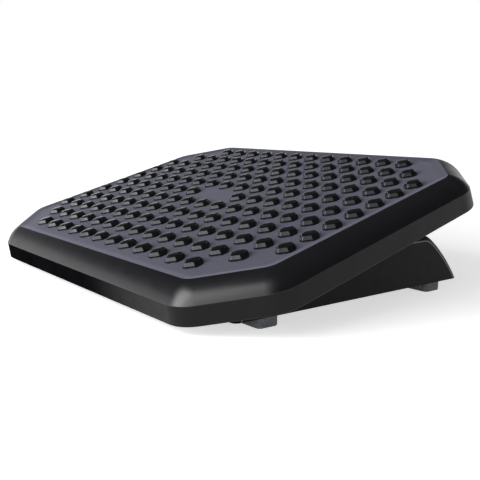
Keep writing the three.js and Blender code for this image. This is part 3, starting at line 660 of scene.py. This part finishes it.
def arch_foot(inset):
    """Half the length of the arch at the base's lower edge, at an inset."""
    drop, radius = arch_circle()
    return np.sqrt((radius - inset) ** 2 - drop ** 2)


def cheek_skin(section, way, flip):
    """A skin over the arch. Its rows run up one side face, across the arch along the section and
    down the other side, and its columns from the front foot over the crown to the rear foot."""
    x, inset = section[:, 0, None], section[:, 1, None]
    s = np.sin(np.linspace(-1, 1, ARCH_STEPS + 1) * ARCH_SPREAD) / math.sin(ARCH_SPREAD)
    y = arch_foot(inset) * s
    z = arch_height(y, inset)
    z[:, [0, -1]] = 0
    wide = np.broadcast_to(x, y.shape)
    top = np.stack([wide, y, z], -1)
    lower = top[[0, -1]] * (1, 1, 0)
    points = np.concatenate([lower[:1], top, lower[1:]])
    slope = np.gradient(z, axis=1) / np.gradient(y, axis=1)
    slope[:, [0, -1]] = slope[:, [1, -2]]
    out = unit(np.stack([np.zeros_like(y), -slope, np.ones_like(y)], -1))
    across = np.zeros_like(out)
    across[..., X] = 1
    normals = across * way[:, 1, None, None] + out * way[:, 0, None, None]
    normals = np.concatenate([normals[:1], normals, normals[-1:]])
    return points, normals * flip


def cheek(side):
    """Outer skin with a painted highlight, a lighter and glossier strip where its edge begins to
    round; inner skin one wall inside it, and the narrow lower face between them."""
    skins = []
    tall, wall = 2 * CHEEK_EDGE_ROUND, CHEEK_WALL
    for inset, first, edge, flip in ((0, CHEEK_INNER_ROUND, CHEEK_EDGE_ROUND, 1),
                                     (wall, CHEEK_EDGE_ROUND - wall, CHEEK_EDGE_ROUND - wall, -1)):
        near, far = CHEEK_INNER + inset, CHEEK_OUTER - inset
        corners = [(near, tall), (near, inset), (far, inset), (far, tall)]
        section, way = rounded(corners, [0, first, edge, 0], SECTION_STEPS)
        skins.append(cheek_skin(section[1:-1], way[1:-1], flip))
    patches = []
    (outer, outer_normals), (inner, inner_normals) = skins
    line = len(outer) - 3
    # The middle span of rows takes the painted highlight
    for start, stop, finish in ((0, line + 1, MOULDED), (line, line + 2, PAINTED_HIGHLIGHT),
                                (line + 1, None, MOULDED)):
        patches += patch(outer[start:stop], outer_normals[start:stop], finish=finish)
    patches += patch(inner, inner_normals)
    down = np.array((0.0, 0.0, -1.0))
    for row in (0, -1):
        strip = np.stack([outer[row], inner[row]])
        patches += patch(strip, np.broadcast_to(down, strip.shape))
    for column in (0, -1):
        loop = np.concatenate([outer[1:-1, column], inner[1:-1, column][::-1]])
        patches.append(lid(loop, down))
    mirror = (side, 1, 1)
    place = lambda points: based(points * mirror + (0, 0, FOOT_HEIGHT))
    carried = placed(patches, place, lambda vectors: vectors * mirror)
    # A mirrored face runs round the other way
    return [(p, n, faces[:, ::side], finish) for p, n, faces, finish in carried]


def base_pan():
    """The floor pan with its upright edges, ribs, half bearings and foot pads."""
    low = FOOT_HEIGHT
    width = CHEEK_INNER + CHEEK_WALL / 2
    plan = rectangle(-width, -PAN_HALF_LENGTH, width, PAN_HALF_LENGTH)
    parts = slab(plan, MOULD_ROUND, low, low + PAN_WALL)
    t = PAN_RIB_THICKNESS
    walls = [(-PAN_HALF_LENGTH, PAN_EDGE_HEIGHT), (-BEARING_HALF_LENGTH, PAN_RIB_HEIGHT),
             (BEARING_HALF_LENGTH - t, PAN_RIB_HEIGHT), (PAN_HALF_LENGTH - t, PAN_EDGE_HEIGHT)]
    for y, height in walls:
        outline = rectangle(y, low, y + t, low + height)
        parts += slab(outline, MOULD_ROUND, -width, width, axis=X)
    count = int((CHEEK_INNER - BEARING_THICKNESS) // PAN_RIB_PITCH)
    reach = PAN_HALF_LENGTH - t / 2
    for i in range(-count, count + 1):
        x = i * PAN_RIB_PITCH
        outline = rectangle(x - t / 2, low + t / 2, x + t / 2, low + PAN_RIB_HEIGHT)
        parts += slab(outline, MOULD_ROUND, -reach, reach, axis=Y)
    top, half = low + PIVOT_ABOVE_BASE, BEARING_HALF_LENGTH
    notch = [(y, top - drop) for y, drop in arc(SADDLE_RADIUS, 0, math.pi)]
    ring = [(-half, low), (half, low), (half, top), *notch, (-half, top)]
    for side in (-1, 1):
        ends = handed((CHEEK_INNER - BEARING_THICKNESS, CHEEK_INNER + CHEEK_WALL / 2), side)
        parts += slab(ring, 0, *ends, 0, X)
    reach_x = (CHEEK_OUTER - CHEEK_INNER) / 2 - CHEEK_WALL / 2
    reach_y = FOOT_HALF[1] + FOOT_PAD_MARGIN
    for x in (-FOOT_PLACE[0], FOOT_PLACE[0]):
        for y in (-FOOT_PLACE[1], FOOT_PLACE[1]):
            pad = rectangle(x - reach_x, y - reach_y, x + reach_x, y + reach_y)
            parts += slab(pad, MOULD_ROUND, low, low + CHEEK_WALL, FOOT_PAD_ROUND)
    return placed(parts, based)


# Feet
def rubber_foot(x, y):
    """A block with rounded edges, and a mushroom peg above it."""
    a, b = FOOT_HALF
    parts = slab(rectangle(-a, -b, a, b), FOOT_CORNER_RADIUS, 0, FOOT_HEIGHT, FOOT_EDGE_ROUND)
    peg_top = FOOT_HEIGHT + CHEEK_WALL + SEAT_GAP
    profile = [
        (FOOT_HEIGHT - FOOT_EDGE_ROUND, FOOT_PEG_RADIUS),
        (peg_top, FOOT_PEG_RADIUS),
        (peg_top, FOOT_HEAD_RADIUS),
        (peg_top + FOOT_HEAD_HEIGHT, FOOT_HEAD_RADIUS - MOULD_ROUND),
    ]
    parts += turned(profile, [0, 0, MOULD_ROUND, 0], SMALL_SIDES)
    return placed(parts, lambda points: based(points + (x, y, 0)))


# Pivot
def at_axle(points):
    """Platform points measured from the axle's middle line."""
    return tilted(np.asarray(points, float) - (0, 0, PIVOT_BELOW_PLATE))


def on_axle(points):
    """Base points measured from the axle's middle line."""
    return based(np.asarray(points, float) + (0, 0, PIVOT[2]))


def axle():
    """A round bar with a groove for each retaining ring and chamfered ends."""
    near, far = AXLE_GROOVES
    half = [(near, AXLE_RADIUS), (near, GROOVE_RADIUS), (far, GROOVE_RADIUS), (far, AXLE_RADIUS),
            (AXLE_END - AXLE_CHAMFER, AXLE_RADIUS), (AXLE_END, AXLE_RADIUS - AXLE_CHAMFER)]
    profile = [(-x, r) for x, r in reversed(half)] + half
    return placed(turned(profile, [0, *[FINE_ROUND] * 10, 0], axis=X), at_axle, turned_back)


def washer(span, inner, outer, edge=FINE_ROUND):
    """A flat ring or a tube along the width."""
    low, high = span
    corners = [(low, inner), (low, outer), (high, outer), (high, inner)]
    return turned(corners, edge, closed=True, axis=X)


def retaining_ring(side):
    """A stamped ring, open below over the mouth's angle."""
    first = (RING_MOUTH - math.pi) / 2
    last = first + 2 * math.pi - RING_MOUTH
    inner, outer = RING_RADII
    outline = arc(outer, first, last, RING_STEPS) + arc(inner, last, first, RING_STEPS)
    return placed(slab(outline, 0, *handed(RING_SPAN, side), 0, X), at_axle, turned_back)


def disc_spring(side):
    """A dished ring, thinner than its dish is deep."""
    hub, rim, t = SPRING_START + SPRING_DISH, SPRING_START, SPRING_THICKNESS
    profile = [(hub, BORE_RADIUS), (rim, SPRING_RADIUS), (rim + t, SPRING_RADIUS),
               (hub + t, BORE_RADIUS)]
    if side < 0:
        profile = [(-x, r) for x, r in (profile[0], profile[3], profile[2], profile[1])]
    return placed(turned(profile, FINE_ROUND, closed=True, axis=X), on_axle)


def screw(x, y, z, way):
    """A pan head with its underside at z, and a plain shank that points way along the height."""
    radius, height = SCREW_HEAD
    profile = [
        (-height, radius - SCREW_HEAD_CROWN), (-height * SCREW_HEAD_SHARE, radius), (0, radius),
        (0, SCREW_RADIUS), (SCREW_LENGTH - SCREW_TIP, SCREW_RADIUS),
        (SCREW_LENGTH, SCREW_RADIUS * SCREW_TIP_SHARE),
    ]
    parts = turned(profile, [0, SCREW_HEAD_ROUND, *[FINE_ROUND] * 3, 0], SMALL_SIDES)
    flip = lambda vectors: np.asarray(vectors, float) * (1, way, way)
    return placed(parts, lambda points: flip(points) + (x, y, z), flip)


def pivot_bracket(side):
    """Flange, ear, hub and gusset; the ear is open over the axle's bore."""
    low, high = FLANGE_HEIGHTS
    z = -PIVOT_BELOW_PLATE
    near, far = handed((BRACKET_INNER, BRACKET_OUTER), side)
    half = FLANGE_LENGTH / 2
    parts = slab(rectangle(near, -half, far, half), FLANGE_CORNER, low, high)
    middle = (low + high) / 2
    ring = [(-half, middle), (-HUB_RADIUS, z), (-BORE_RADIUS, z)]
    ring += [(y, z + h) for y, h in arc(BORE_RADIUS, math.pi, 0)[1:-1]]
    ring += [(BORE_RADIUS, z), (HUB_RADIUS, z), (half, middle)]
    parts += slab(ring, 0, *handed((BRACKET_OUTER - EAR_THICKNESS, BRACKET_OUTER), side), 0, X)
    inner = BRACKET_OUTER - HUB_LENGTH
    hub = washer(handed((inner, BRACKET_OUTER), side), BORE_RADIUS, HUB_RADIUS, MOULD_ROUND)
    parts += placed(hub, lambda points: points + (0, 0, z))
    back, foot = BRACKET_OUTER - GUSSET_OVERLAP[0], z + HUB_RADIUS - GUSSET_OVERLAP[1]
    outline = [(back, foot), (back, middle), (BRACKET_OUTER - GUSSET_REACH, middle), (inner, foot)]
    outline = [(side * x, h) for x, h in outline]
    parts += slab(outline, 0, -GUSSET_HALF, GUSSET_HALF, 0, Y)
    return placed(parts, tilted, turned_back)


def bearing_cap(side):
    """Flat lugs for the screws, and a round back over the bush."""
    start = math.acos(CAP_FLAT / CAP_RADIUS)
    half, lug = BEARING_HALF_LENGTH, CAP_LUG_HEIGHT
    ring = [(-half, SEAT_GAP), (-half, lug), (-CAP_FLAT, lug)]
    ring += arc(CAP_RADIUS, math.pi - start, start)
    ring += [(CAP_FLAT, lug), (half, lug), (half, SEAT_GAP)]
    foot = math.asin(SEAT_GAP / SADDLE_RADIUS)
    ring += arc(SADDLE_RADIUS, foot, math.pi - foot)
    return placed(slab(ring, 0, *handed(BEARING_SPAN, side), 0, X), on_axle)


def stop_bumper(x, y):
    """A rubber button on the flat crown, with a stem through it."""
    crown = FOOT_HEIGHT + CHEEK_HEIGHT
    profile = [
        (crown - STEM_TAIL, STEM_RADIUS), (crown, STEM_RADIUS), (crown, BUMPER_RADIUS),
        (BUMPER_TOP - BUMPER_TOP_ROUND, BUMPER_RADIUS),
        (BUMPER_TOP, BUMPER_RADIUS - BUMPER_TOP_ROUND),
    ]
    parts = turned(profile, [0, 0, FINE_ROUND, BUMPER_TOP_ROUND, 0])
    return placed(parts, lambda points: based(points + (x, y, 0)))


# Finishes
NOISE_SPAN = (0.3, 0.7)
# Painted shade: the rim's specular levels along its width, and the span where they change
RIM_PAINTED_SHADE_SPECULAR = (0.0, 0.2)
RIM_PAINTED_SHADE_REACH = (0.02, 0.23)
# Painted shade: the border's specular levels along its depth, and the span where they change
BORDER_PAINTED_SHADE_SPECULAR = (0.5, 0.1)
BORDER_PAINTED_SHADE_REACH = (0.09, 0.15)


def fill(node, **values):
    """Constants for a node's sockets, a space in a socket's name written as a low line."""
    for name, value in values.items():
        node.inputs[name.replace("_", " ")].default_value = value


def added(tree, kind, **values):
    """A new shader node with these constants."""
    node = tree.nodes.new(f"ShaderNode{kind}")
    fill(node, **values)
    return node


def joined(tree, operation, first, second):
    """The sum, the product or the greater of two sockets."""
    node = added(tree, "Math")
    node.operation = operation
    tree.links.new(first, node.inputs[0])
    tree.links.new(second, node.inputs[1])
    return node.outputs[0]


class Finish:
    """A node material on one Principled shader, with patterns laid over Object coordinates."""

    def __init__(self, name, roughness, metallic=0.0, specular=0.5):
        self.material = bpy.data.materials.new(name)
        self.material.use_nodes = True
        self.tree = self.material.node_tree
        self.shader = self.tree.nodes["Principled BSDF"]
        fill(self.shader, Roughness=roughness, Metallic=metallic, Specular_IOR_Level=specular)
        self.place = added(self.tree, "TexCoord").outputs["Object"]

    def link(self, source, target):
        """Joins two sockets."""
        self.tree.links.new(source, target)

    def noise(self, size, detail=2.0, stretch=(1, 1, 1)):
        """Noise whose lumps are about size across, in metres."""
        mapping = added(self.tree, "Mapping", Scale=stretch)
        noise = added(self.tree, "TexNoise", Scale=1 / size, Detail=detail)
        self.link(self.place, mapping.inputs["Vector"])
        self.link(mapping.outputs["Vector"], noise.inputs["Vector"])
        return noise.outputs["Fac"]

    def spread(self, value, low, high, span=NOISE_SPAN):
        """The middle of a noise, carried to low and high."""
        ramp = added(self.tree, "MapRange", From_Min=span[0], From_Max=span[1],
                     To_Min=low, To_Max=high)
        self.link(value, ramp.inputs["Value"])
        return ramp.outputs["Result"]

    def colour(self, value, low, high, span=NOISE_SPAN):
        """Base colour between two tones, by a noise."""
        mix = added(self.tree, "Mix")
        mix.data_type = "RGBA"
        fill(mix, A=(*low, 1), B=(*high, 1))
        self.link(self.spread(value, 0, 1, span), mix.inputs["Factor"])
        self.link(mix.outputs["Result"], self.shader.inputs["Base Color"])

    def rough(self, value, low, high):
        """Roughness between two values, by a noise."""
        self.link(self.spread(value, low, high), self.shader.inputs["Roughness"])

    def painted_shade_specular(self, axis, low, high, reach):
        """How much the surface mirrors, changing along an axis, to paint shade on one end."""
        along = added(self.tree, "SeparateXYZ")
        self.link(self.place, along.inputs[0])
        level = self.spread(along.outputs[axis], low, high, reach)
        level.node.interpolation_type = "SMOOTHERSTEP"
        self.link(level, self.shader.inputs["Specular IOR Level"])

    def relief(self, *layers):
        """Grain from pairs of a noise and its height in metres."""
        last = None
        for value, height in layers:
            bump = added(self.tree, "Bump", Strength=1.0, Distance=height)
            self.link(value, bump.inputs["Height"])
            if last is not None:
                self.link(last, bump.inputs["Normal"])
            last = bump.outputs["Normal"]
        self.link(last, self.shader.inputs["Normal"])


def border_plastic():
    """Smooth black moulding, softly glossy: broad faint waves and a very fine grain."""
    f = Finish("satin_black_moulding", 0.3)
    # Painted shade: the border mirrors less toward the rear
    f.painted_shade_specular("Y", *BORDER_PAINTED_SHADE_SPECULAR, BORDER_PAINTED_SHADE_REACH)
    f.colour(f.noise(0.03, 3), (0.004, 0.004, 0.0055), (0.006, 0.006, 0.008))
    f.rough(f.noise(0.012, 4), 0.27, 0.33)
    f.relief((f.noise(0.0007), 0.000008), (f.noise(0.02), 0.00004))
    return f


def rim_plastic():
    """The upright rim: duller and darker than the border, with painted shade along its width."""
    f = Finish("dull_black_rim", 0.4)
    f.colour(f.noise(0.02, 3), (0.0025, 0.0025, 0.003), (0.0045, 0.0045, 0.0052))
    f.rough(f.noise(0.01, 3), 0.36, 0.46)
    f.relief((f.noise(0.0008), 0.00001))
    # Painted shade: the rim mirrors nothing over its left and middle, more toward its right end
    f.painted_shade_specular("X", *RIM_PAINTED_SHADE_SPECULAR, RIM_PAINTED_SHADE_REACH)
    return f


def plate_plastic():
    """The field between the bumps, etched with an even fine grain: dull and lavender."""
    f = Finish("etched_black_plate", 0.56)
    fill(f.shader, Sheen_Weight=0.3, Sheen_Roughness=0.5, Sheen_Tint=(0.80, 0.80, 1.0, 1))
    f.colour(f.noise(0.0006, 3), (0.030, 0.031, 0.046), (0.048, 0.049, 0.072))
    f.rough(f.noise(0.02, 3), 0.53, 0.6)
    f.relief((f.noise(0.0009, 3), 0.00006))
    return f


def bump_plastic():
    """The bumps: polished by the mould, with a faint unevenness."""
    f = Finish("polished_black_bumps", 0.16)
    f.colour(f.noise(0.004, 2), (0.002, 0.002, 0.0028), (0.0034, 0.0034, 0.0044))
    f.rough(f.noise(0.003, 3), 0.13, 0.2)
    f.relief((f.noise(0.002), 0.00001))
    fill(f.shader, Specular_Tint=(0.88, 0.92, 1.0, 1))
    return f


def inner_plastic():
    """The inside of the mouldings: plain mould finish with faint flow marks."""
    f = Finish("plain_black_moulding", 0.45)
    f.colour(f.noise(0.02, 4), (0.012, 0.012, 0.014), (0.018, 0.018, 0.020))
    f.rough(f.noise(0.01, 4), 0.4, 0.52)
    f.relief((f.noise(0.0008), 0.000015))
    return f


def base_plastic():
    """The base: a slightly duller black than the top, finely etched."""
    f = Finish("etched_black_base", 0.42, specular=0.09)
    f.colour(f.noise(0.012, 4), (0.0032, 0.0032, 0.004), (0.0055, 0.0055, 0.0065))
    f.rough(f.noise(0.008, 3), 0.38, 0.47)
    f.relief((f.noise(0.0007, 2), 0.00002))
    return f


def painted_highlight_plastic():
    """The narrow line along the cheek's edge: a painted highlight, lighter and glossier than the
    base.
    """
    f = Finish("painted_highlight_black_line", 0.25, specular=0.8)
    f.colour(f.noise(0.01, 3), (0.012, 0.012, 0.014), (0.018, 0.018, 0.020))
    f.rough(f.noise(0.004, 3), 0.2, 0.3)
    return f


def foot_rubber():
    """Dull grey rubber with light and dark specks."""
    f = Finish("speckled_grey_rubber", 0.8, specular=0.6)
    f.colour(f.noise(0.0011, 4), (0.10, 0.104, 0.112), (0.25, 0.26, 0.28), (0.38, 0.64))
    f.relief((f.noise(0.0008, 3), 0.0001))
    return f


def bumper_rubber():
    """Dull black rubber with a fine grain."""
    f = Finish("black_bumper_rubber", 0.75, specular=0.35)
    f.colour(f.noise(0.001, 3), (0.018, 0.018, 0.018), (0.035, 0.035, 0.036))
    f.relief((f.noise(0.0007, 3), 0.00005))
    return f


def zinc_steel():
    """Zinc plated steel: bright, with soft clouds of blue grey and fine lines round the bar."""
    f = Finish("zinc_plated_steel", 0.3, metallic=1.0)
    f.colour(f.noise(0.006, 4), (0.48, 0.50, 0.54), (0.62, 0.63, 0.65))
    f.rough(f.noise(0.003, 4), 0.24, 0.4)
    f.relief((f.noise(0.0006, 2, (0.1, 1, 1)), 0.000008))
    return f


def bush_nylon():
    """Natural nylon, ivory and faintly uneven."""
    f = Finish("natural_nylon", 0.5)
    f.colour(f.noise(0.004, 3), (0.60, 0.58, 0.52), (0.66, 0.64, 0.58))
    f.rough(f.noise(0.003, 3), 0.45, 0.56)
    f.relief((f.noise(0.0008), 0.00001))
    return f


def washer_fibre():
    """Pressed brown fibre with short strands."""
    f = Finish("pressed_brown_fibre", 0.85, specular=0.3)
    f.colour(f.noise(0.0012, 4, (1, 0.35, 1)), (0.09, 0.045, 0.025), (0.23, 0.13, 0.08))
    f.relief((f.noise(0.0009, 3, (1, 0.35, 1)), 0.00006))
    return f


# Studio
FLOOR_HALF = 6.0
FLOOR_COLOUR = (0.82, 0.82, 0.83, 1)
FLOOR_GLOW = (0.62, 1.0)
FLOOR_GLOW_REACH = (0.3, 1.3)
BACKDROP_EDGE = (0.20, 0.34)
BACKDROP_LEVELS = (1.0, 0.05)
CEILING_EDGE = (0.6, 0.95)
CEILING_LEVEL = 0.08
SOFTBOXES = [
    # name, direction from the object, distance, width, height, radiance
    ("front_softbox", (-0.19, -0.893, 0.407), 1.6, 0.75, 1.22, 7.5),
    ("middle_softbox", (0.234, -0.868, 0.438), 1.6, 0.60, 1.30, 3.6),
    ("right_softbox", (0.519, -0.714, 0.469), 1.6, 0.45, 1.42, 1.3),
    ("left_strip_softbox", (-0.895, 0.417, 0.156), 1.9, 1.60, 0.35, 0.8),
]
LIT_POINT = (0.0, 0.0, 0.07)


def make_camera():
    """The photograph's camera. Its back is away from where it looks."""
    azimuth, elevation = math.radians(CAMERA_AZIMUTH), math.radians(CAMERA_ELEVATION)
    roll = math.radians(CAMERA_ROLL)
    back = np.array([
        math.sin(azimuth) * math.cos(elevation),
        -math.cos(azimuth) * math.cos(elevation),
        math.sin(elevation),
    ])
    level = np.array([math.cos(azimuth), math.sin(azimuth), 0.0])
    right = level * math.cos(roll) + np.cross(back, level) * math.sin(roll)
    data = bpy.data.cameras.new("camera")
    camera = linked("camera", data)
    aim(camera, CAMERA_PLACE, right, back)
    data.sensor_width = SENSOR_WIDTH
    data.lens = SENSOR_WIDTH * FOCAL_LENGTH_PIXELS / PHOTO_SIDE_PIXELS
    data.clip_start, data.clip_end = CLIP_RANGE
    bpy.context.scene.camera = camera


def make_softbox(name, direction, distance, width, height, radiance):
    """An area lamp that faces the object: radiance is power over pi times the lamp's area."""
    data = bpy.data.lights.new(name, "AREA")
    data.shape = "RECTANGLE"
    data.size, data.size_y = width, height
    data.energy = radiance * math.pi * width * height
    back = unit(np.array(direction, float))
    right = unit(np.cross((0, 0, 1), back))
    aim(linked(name, data), np.array(LIT_POINT) + back * distance, right, back)


def make_floor():
    """A pale floor. What looks at it sees a glow on top of the light that falls on it, which grows
    away from the object so that the far floor is as white as the backdrop."""
    mesh = bpy.data.meshes.new("floor")
    h = FLOOR_HALF
    mesh.from_pydata([(-h, -h, 0), (h, -h, 0), (h, h, 0), (-h, h, 0)], [], [(0, 1, 2, 3)])
    floor = linked("floor", mesh)
    f = Finish("pale_floor", 0.9, specular=0.0)
    tree, link = f.tree, f.link
    fill(f.shader, Base_Color=FLOOR_COLOUR, Emission_Color=(1, 1, 1, 1))
    path = added(tree, "LightPath").outputs
    mirrored = joined(tree, "MAXIMUM", path["Is Glossy Ray"], path["Is Transmission Ray"])
    seen = joined(tree, "MAXIMUM", path["Is Camera Ray"], mirrored)
    away = added(tree, "VectorMath")
    away.operation = "LENGTH"
    link(f.place, away.inputs[0])
    glow = f.spread(away.outputs["Value"], *FLOOR_GLOW, FLOOR_GLOW_REACH)
    link(joined(tree, "MULTIPLY", glow, seen), f.shader.inputs["Emission Strength"])
    mix = added(tree, "MixShader")
    link(added(tree, "NewGeometry").outputs["Backfacing"], mix.inputs["Fac"])
    link(f.shader.outputs[0], mix.inputs[1])
    link(added(tree, "BsdfTransparent").outputs[0], mix.inputs[2])
    link(mix.outputs[0], tree.nodes["Material Output"].inputs["Surface"])
    mesh.materials.append(f.material)


def make_world():
    """A white backdrop up to a low height, a dark room above it and a dim ceiling."""
    world = bpy.data.worlds.new("studio")
    bpy.context.scene.world = world
    world.use_nodes = True
    tree = world.node_tree
    background = tree.nodes["Background"]
    height = added(tree, "SeparateXYZ")
    tree.links.new(added(tree, "TexCoord").outputs["Generated"], height.inputs[0])
    levels = []
    for edge, ends in ((BACKDROP_EDGE, BACKDROP_LEVELS), (CEILING_EDGE, (0, CEILING_LEVEL))):
        level = added(tree, "MapRange", From_Min=edge[0], From_Max=edge[1],
                      To_Min=ends[0], To_Max=ends[1])
        level.interpolation_type = "SMOOTHSTEP"
        tree.links.new(height.outputs["Z"], level.inputs["Value"])
        levels.append(level.outputs["Result"])
    tree.links.new(joined(tree, "ADD", *levels), background.inputs["Strength"])
    fill(background, Color=(1, 1, 1, 1))


bpy.context.scene.view_settings.view_transform = "Standard"
make_camera()
make_world()
make_floor()
for softbox in SOFTBOXES:
    make_softbox(*softbox)

border = border_plastic()
top_finishes = [border, plate_plastic(), bump_plastic(), inner_plastic(), rim_plastic()]
top_patches = platform_shell() + massage_bumps() + plate_ribs() + screw_bosses()
build("platform_moulding", placed(top_patches, tilted, turned_back), top_finishes,
      "platform", ["platform"])

# line is the painted highlight along each cheek's edge
base, line = base_plastic(), painted_highlight_plastic()
build("base_moulding", cheek(-1) + cheek(1) + base_pan(), [base, line],
      "base", ["base_frame"])

rubber = foot_rubber()
for end, along in ENDS:
    for side, across in SIDES:
        patches = rubber_foot(across * FOOT_PLACE[0], along * FOOT_PLACE[1])
        build(f"{end}_{side}_rubber_foot", patches, [rubber],
              "base", [f"{end}_{side}_foot"])

slot_finishes = {
    "base_plastic": base, "bumper_rubber": bumper_rubber(), "steel": zinc_steel(),
    "nylon": bush_nylon(), "friction_fibre": washer_fibre(),
}
moving = {"axle": ("steel", axle())}
standing = {}
for name, side in SIDES:
    moving[f"{name}_pivot_bracket"] = ("base_plastic", pivot_bracket(side))
    moving[f"{name}_retaining_ring"] = ("steel", retaining_ring(side))
    moving[f"{name}_friction_washer"] = ("friction_fibre", placed(
        washer(handed(WASHER_SPAN, side), BORE_RADIUS, WASHER_RADIUS), at_axle, turned_back))
    for i, (x, y) in enumerate(bracket_screw_places()):
        parts = screw(side * x, y, FLANGE_HEIGHTS[0] - SEAT_GAP, 1)
        moving[f"{name}_bracket_screw_{i + 1}"] = ("steel", placed(parts, tilted, turned_back))
    standing[f"{name}_disc_spring"] = ("steel", disc_spring(side))
    standing[f"{name}_bush"] = ("nylon", placed(
        washer(handed(BEARING_SPAN, side), BORE_RADIUS, BORE_RADIUS + BUSH_WALL), on_axle))
    standing[f"{name}_bearing_cap"] = ("base_plastic", bearing_cap(side))
    for i, along in enumerate((-1, 1)):
        parts = screw(side * CAP_SCREW_PLACE[0], along * CAP_SCREW_PLACE[1], CAP_LUG_HEIGHT, -1)
        standing[f"{name}_cap_screw_{i + 1}"] = ("steel", placed(parts, on_axle))
    for end, along in ENDS:
        parts = stop_bumper(side * BUMPER_PLACE[0], along * BUMPER_PLACE[1])
        standing[f"{end}_{name}_stop_bumper"] = ("bumper_rubber", parts)
for body, pieces in (("platform", moving), ("base", standing)):
    for name, (slot, patches) in pieces.items():
        build(f"smooth_{name}", patches, [slot_finishes[slot]], body, [name])
